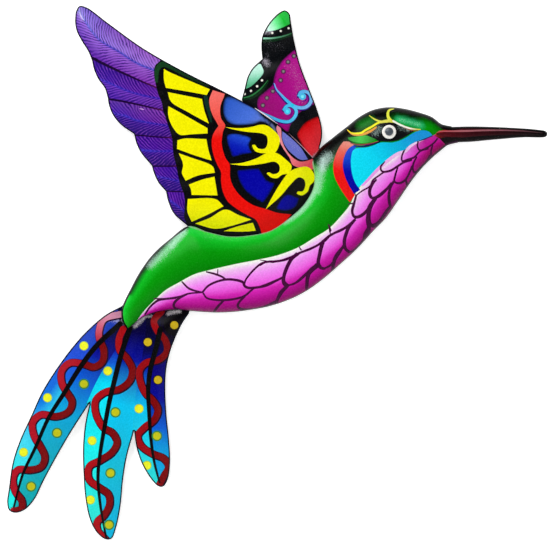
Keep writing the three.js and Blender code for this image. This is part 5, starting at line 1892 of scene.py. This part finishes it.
def add_rivet(name, at):
    """A rivet from under its lowest sheet to over the body's lug or the beak's tongue."""
    front = TONGUE_BACK + BEAK_WALL if name == "rivet_beak" else BODY_BACK + SHEET
    head_front = RIVET_BACKS.get(name, NEAR_LAYER_BACK) - LAYER_GAP
    tail_back = front + LAYER_GAP
    head, head_height = RIVET_HEAD
    tail, tail_height = RIVET_TAIL
    crown = domed(head, head_front + RIVET_RIM * head_height, (1 - RIVET_RIM) * head_height)
    crown = [(radius, 2 * head_front - height) for radius, height in crown[::-1]]
    profile = crown + eased([
        (head, head_front - RIVET_RIM * head_height), (head, head_front), (RIVET_SHANK, head_front),
        (RIVET_SHANK, tail_back), (tail, tail_back), (tail, tail_back + tail_height),
        (0.0, tail_back + tail_height),
    ], RIVET_EASE)[1:]
    stands_for(small_piece(name + "_turned", standing_at(at, profile), ZINC), "plated_steel", name)


add_lugs()
add_tongue()
for rivet, rivet_place in RIVETS.items():
    add_rivet(rivet, rivet_place)


# The eye: a white ring held by a round-headed pin, with a washer inside the head

def eye_axes():
    """The eye's own axes on the dome: two across it, and its way out."""
    along = body_dome.at([EYE_STATION + EYE_STEP], [EYE_ACROSS])[0] - eye_base
    across = body_dome.at([EYE_STATION], [EYE_ACROSS - EYE_STEP])[0] - eye_base
    way = np.cross(along, across)
    way /= np.linalg.norm(way)
    side = np.cross((0, 1, 0), way)
    side /= np.linalg.norm(side)
    return np.stack([side, np.cross(way, side), way])


def add_eye():
    hole = EYE_HOLE_RADIUS
    ring_rim, ring_height = EYE_RING
    pin_rim, pin_height = EYE_PIN
    washer_rim, washer_height = EYE_WASHER
    end_rim, end_height = EYE_PIN_END
    ring_back = LAYER_GAP
    ring_front = ring_back + ring_height
    pin_head = ring_front + LAYER_GAP
    washer_front = -BODY_WALL - LAYER_GAP
    washer_back = washer_front - washer_height
    end_front = washer_back - LAYER_GAP
    end_back = end_front - end_height
    ring = eased([
        (hole + 0.3, ring_back), (ring_rim, ring_back), (ring_rim, ring_back + 0.45 * ring_height),
        (0.93 * ring_rim, ring_back + 0.85 * ring_height), (0.8 * ring_rim, ring_front),
        (pin_rim + 0.45, ring_front), (hole, ring_front - 0.2), (hole, ring_back + 0.1),
        (hole + 0.3, ring_back),
    ])
    pin = [(0.0, end_back)] + eased([
        (0.0, end_back), (end_rim, end_back), (end_rim, end_front), (EYE_SHANK, end_front),
        (EYE_SHANK, pin_head), (pin_rim, pin_head), (pin_rim, pin_head + 0.15),
    ], EYE_EASE)[1:] + domed(0.97 * pin_rim, pin_head + 0.2, pin_height - 0.2, 9)
    washer = eased([
        (hole, washer_back + 0.1), (hole, washer_back), (washer_rim, washer_back),
        (washer_rim, washer_front), (hole, washer_front), (hole, washer_back + 0.1),
    ], EYE_EASE)
    axes = eye_axes()
    for name, profile, material, slot, node in (
        ("eye_white_ring", ring, EYE_WHITE, "eye_white", "eye_ring"),
        ("eye_pin", pin, EYE_GREY, "eye_grey", "eye_pupil"),
        ("eye_inner_washer", washer, ZINC, "plated_steel", "eye_washer"),
    ):
        vertices, faces = turned(profile)
        stands_for(small_piece(name, (eye_base + vertices @ axes, faces), material), slot, node)


add_eye()


# The hanging loop, soldered to the near wing's back, and the bumpers

def add_hanger():
    wing_back, pressed = SHEETS["near_wing"]
    relief = pressed.surface(np.array([NAIL]))[0][0]
    foot_depth = wing_back + relief - LAYER_GAP - WIRE_RADIUS
    arch_centre = NAIL[1] + WIRE_RADIUS - LOOP_HALF_WIDTH
    foot_top = arch_centre - LOOP_LEG
    arch = []
    for angle in np.linspace(math.pi, 0, ARCH_POINTS):
        x = NAIL[0] + LOOP_HALF_WIDTH * math.cos(angle)
        y = arch_centre + LOOP_HALF_WIDTH * math.sin(angle)
        arch.append((x, y, WALL_GAP + WIRE_RADIUS))
    left_foot, right_foot = (
        [(NAIL[0] + side * FOOT_SPREAD, foot_top - part * FOOT_LENGTH, foot_depth) for part in (1, 0.5, 0)]
        for side in (-1, 1)
    )
    bends = np.array(left_foot + arch + right_foot[::-1])
    stations = np.linspace(0, len(bends) - 1, 12 * len(bends))
    wire = tube(even_steps(curve_at(bends, stations), WIRE_STEP), WIRE_RADIUS)
    ball = domed(1, 0, -1)[::-1] + domed(1, 0, 1)[1:]
    solder = []
    for side in (-1, 1):
        points, faces = turned(ball, SOLDER_SIDES)
        points = points * (*SOLDER, WIRE_RADIUS + 0.8 * LAYER_GAP)
        points += (NAIL[0] + side * FOOT_SPREAD, foot_top - 0.6 * FOOT_LENGTH, foot_depth)
        solder.append((points, faces))
    stands_for(small_piece("wire_loop", joined(wire, *solder), ZINC), "plated_steel", "hanger_loop")


def add_bumper(name, at, sheet):
    """A rubber bumper from the wall to a sheet's back."""
    sheet_back, pressed = SHEETS[sheet]
    top = sheet_back + pressed.surface(circle(at, BUMPER_RADIUS))[0].min() - LAYER_GAP
    profile = [(0.0, 0.0)] + eased([
        (0.0, 0.0), (BUMPER_RADIUS - BUMPER_CHAMFER, 0.0), (BUMPER_RADIUS, BUMPER_CHAMFER),
        (BUMPER_RADIUS, top), (0.0, top),
    ], BUMPER_EASE)[1:]
    stands_for(small_piece(name + "_pad", standing_at(at, profile), RUBBER), "bumper_rubber", name)


add_hanger()
for bumper, (bumper_place, held_sheet) in BUMPERS.items():
    add_bumper(bumper, bumper_place, held_sheet)


# The wall, the floor, the light and the camera

CAMERA_DISTANCE = 4.0
FRAME_DEPTH = 8.0
SENSOR = 36
CLIP_END = 100
VIEW_X = (PHOTO_WIDTH / 2 * PIXEL - NAIL[0]) * MM
VIEW_Z = (PHOTO_HEIGHT / 2 * PIXEL - NAIL[1]) * MM
STAGE_REACH = 3.0
WALL_BEHIND = 0.0004
FLOOR_LEVEL = -0.42
STUDIO_GLOW = 0.2


def add_camera():
    """A far camera straight in front, whose picture is the photograph's at the frame's depth."""
    data = bpy.data.cameras.new("camera")
    data.sensor_fit = "HORIZONTAL"
    data.sensor_width = SENSOR
    data.lens = SENSOR * (CAMERA_DISTANCE - FRAME_DEPTH * MM) / (PHOTO_WIDTH * PIXEL * MM)
    data.clip_end = CLIP_END
    camera = bpy.data.objects.new("camera", data)
    camera.location = (VIEW_X, -CAMERA_DISTANCE, VIEW_Z)
    camera.rotation_euler = (math.pi / 2, 0, 0)
    bpy.context.scene.collection.objects.link(camera)
    bpy.context.scene.camera = camera
    bpy.context.scene.view_settings.view_transform = "Standard"


def pale_surface(name, colour, glow):
    """A pale studio surface, seen from its front only, a little lifted for the camera."""
    material, shader = new_material(name)
    wire = Wiring(material)
    wire.nodes.remove(shader)
    rays = wire.node("ShaderNodeLightPath").outputs
    direct = wire.math("MAXIMUM", rays["Is Camera Ray"], rays["Is Glossy Ray"])
    seen = wire.math("MAXIMUM", direct, rays["Is Transmission Ray"])
    diffuse = wire.node("ShaderNodeBsdfDiffuse", Color=opaque(colour)).outputs["BSDF"]
    unlit = wire.node("ShaderNodeEmission", Strength=0.0).outputs["Emission"]
    lit = wire.node("ShaderNodeEmission", Strength=glow).outputs["Emission"]
    lift = wire.node("ShaderNodeMixShader", seen, unlit, lit).outputs["Shader"]
    front = wire.node("ShaderNodeAddShader", diffuse, lift).outputs["Shader"]
    clear = wire.node("ShaderNodeBsdfTransparent").outputs["BSDF"]
    behind = wire.node("ShaderNodeNewGeometry").outputs["Backfacing"]
    one_side = wire.node("ShaderNodeMixShader", behind, front, clear).outputs["Shader"]
    wire.put(one_side, wire.nodes["Material Output"].inputs["Surface"])
    return material


def stage_plane(name, corners, material):
    mesh = bpy.data.meshes.new(name)
    mesh.from_pydata(corners, [], [(0, 1, 2, 3)])
    mesh.materials.append(material)
    plane = bpy.data.objects.new(name, mesh)
    bpy.context.scene.collection.objects.link(plane)


add_camera()
pale = pale_surface("pale_wall", "#f4f4f4", 0.6)
stage_plane("wall", [
    (-STAGE_REACH, WALL_BEHIND, FLOOR_LEVEL), (STAGE_REACH, WALL_BEHIND, FLOOR_LEVEL),
    (STAGE_REACH, WALL_BEHIND, STAGE_REACH), (-STAGE_REACH, WALL_BEHIND, STAGE_REACH),
], pale)
stage_plane("floor", [
    (-STAGE_REACH, -STAGE_REACH, FLOOR_LEVEL), (STAGE_REACH, -STAGE_REACH, FLOOR_LEVEL),
    (STAGE_REACH, STAGE_REACH, FLOOR_LEVEL), (-STAGE_REACH, STAGE_REACH, FLOOR_LEVEL),
], pale)


def softbox(name, direction, distance_m, size, power):
    """A square lamp that looks at the bird from a direction."""
    data = bpy.data.lights.new(name, "AREA")
    data.shape = "SQUARE"
    data.size = size
    data.energy = power
    lamp = bpy.data.objects.new(name, data)
    way = Vector(direction).normalized()
    lamp.location = Vector((VIEW_X, 0, VIEW_Z)) + way * distance_m
    lamp.rotation_mode = "QUATERNION"
    lamp.rotation_quaternion = way.to_track_quat("Z", "Y")
    bpy.context.scene.collection.objects.link(lamp)


softbox("key", (-0.42, -0.66, 0.7), 1.8, 1.1, 23)
softbox("fill", (0.9, -0.9, -0.1), 2.2, 1.6, 11)
softbox("behind", (0.2, 1.0, 0.4), 2.2, 1.6, 40)

world = bpy.data.worlds.new("studio")
world.use_nodes = True
world.node_tree.nodes["Background"].inputs["Color"].default_value = (1, 1, 1, 1)
world.node_tree.nodes["Background"].inputs["Strength"].default_value = STUDIO_GLOW
bpy.context.scene.world = world
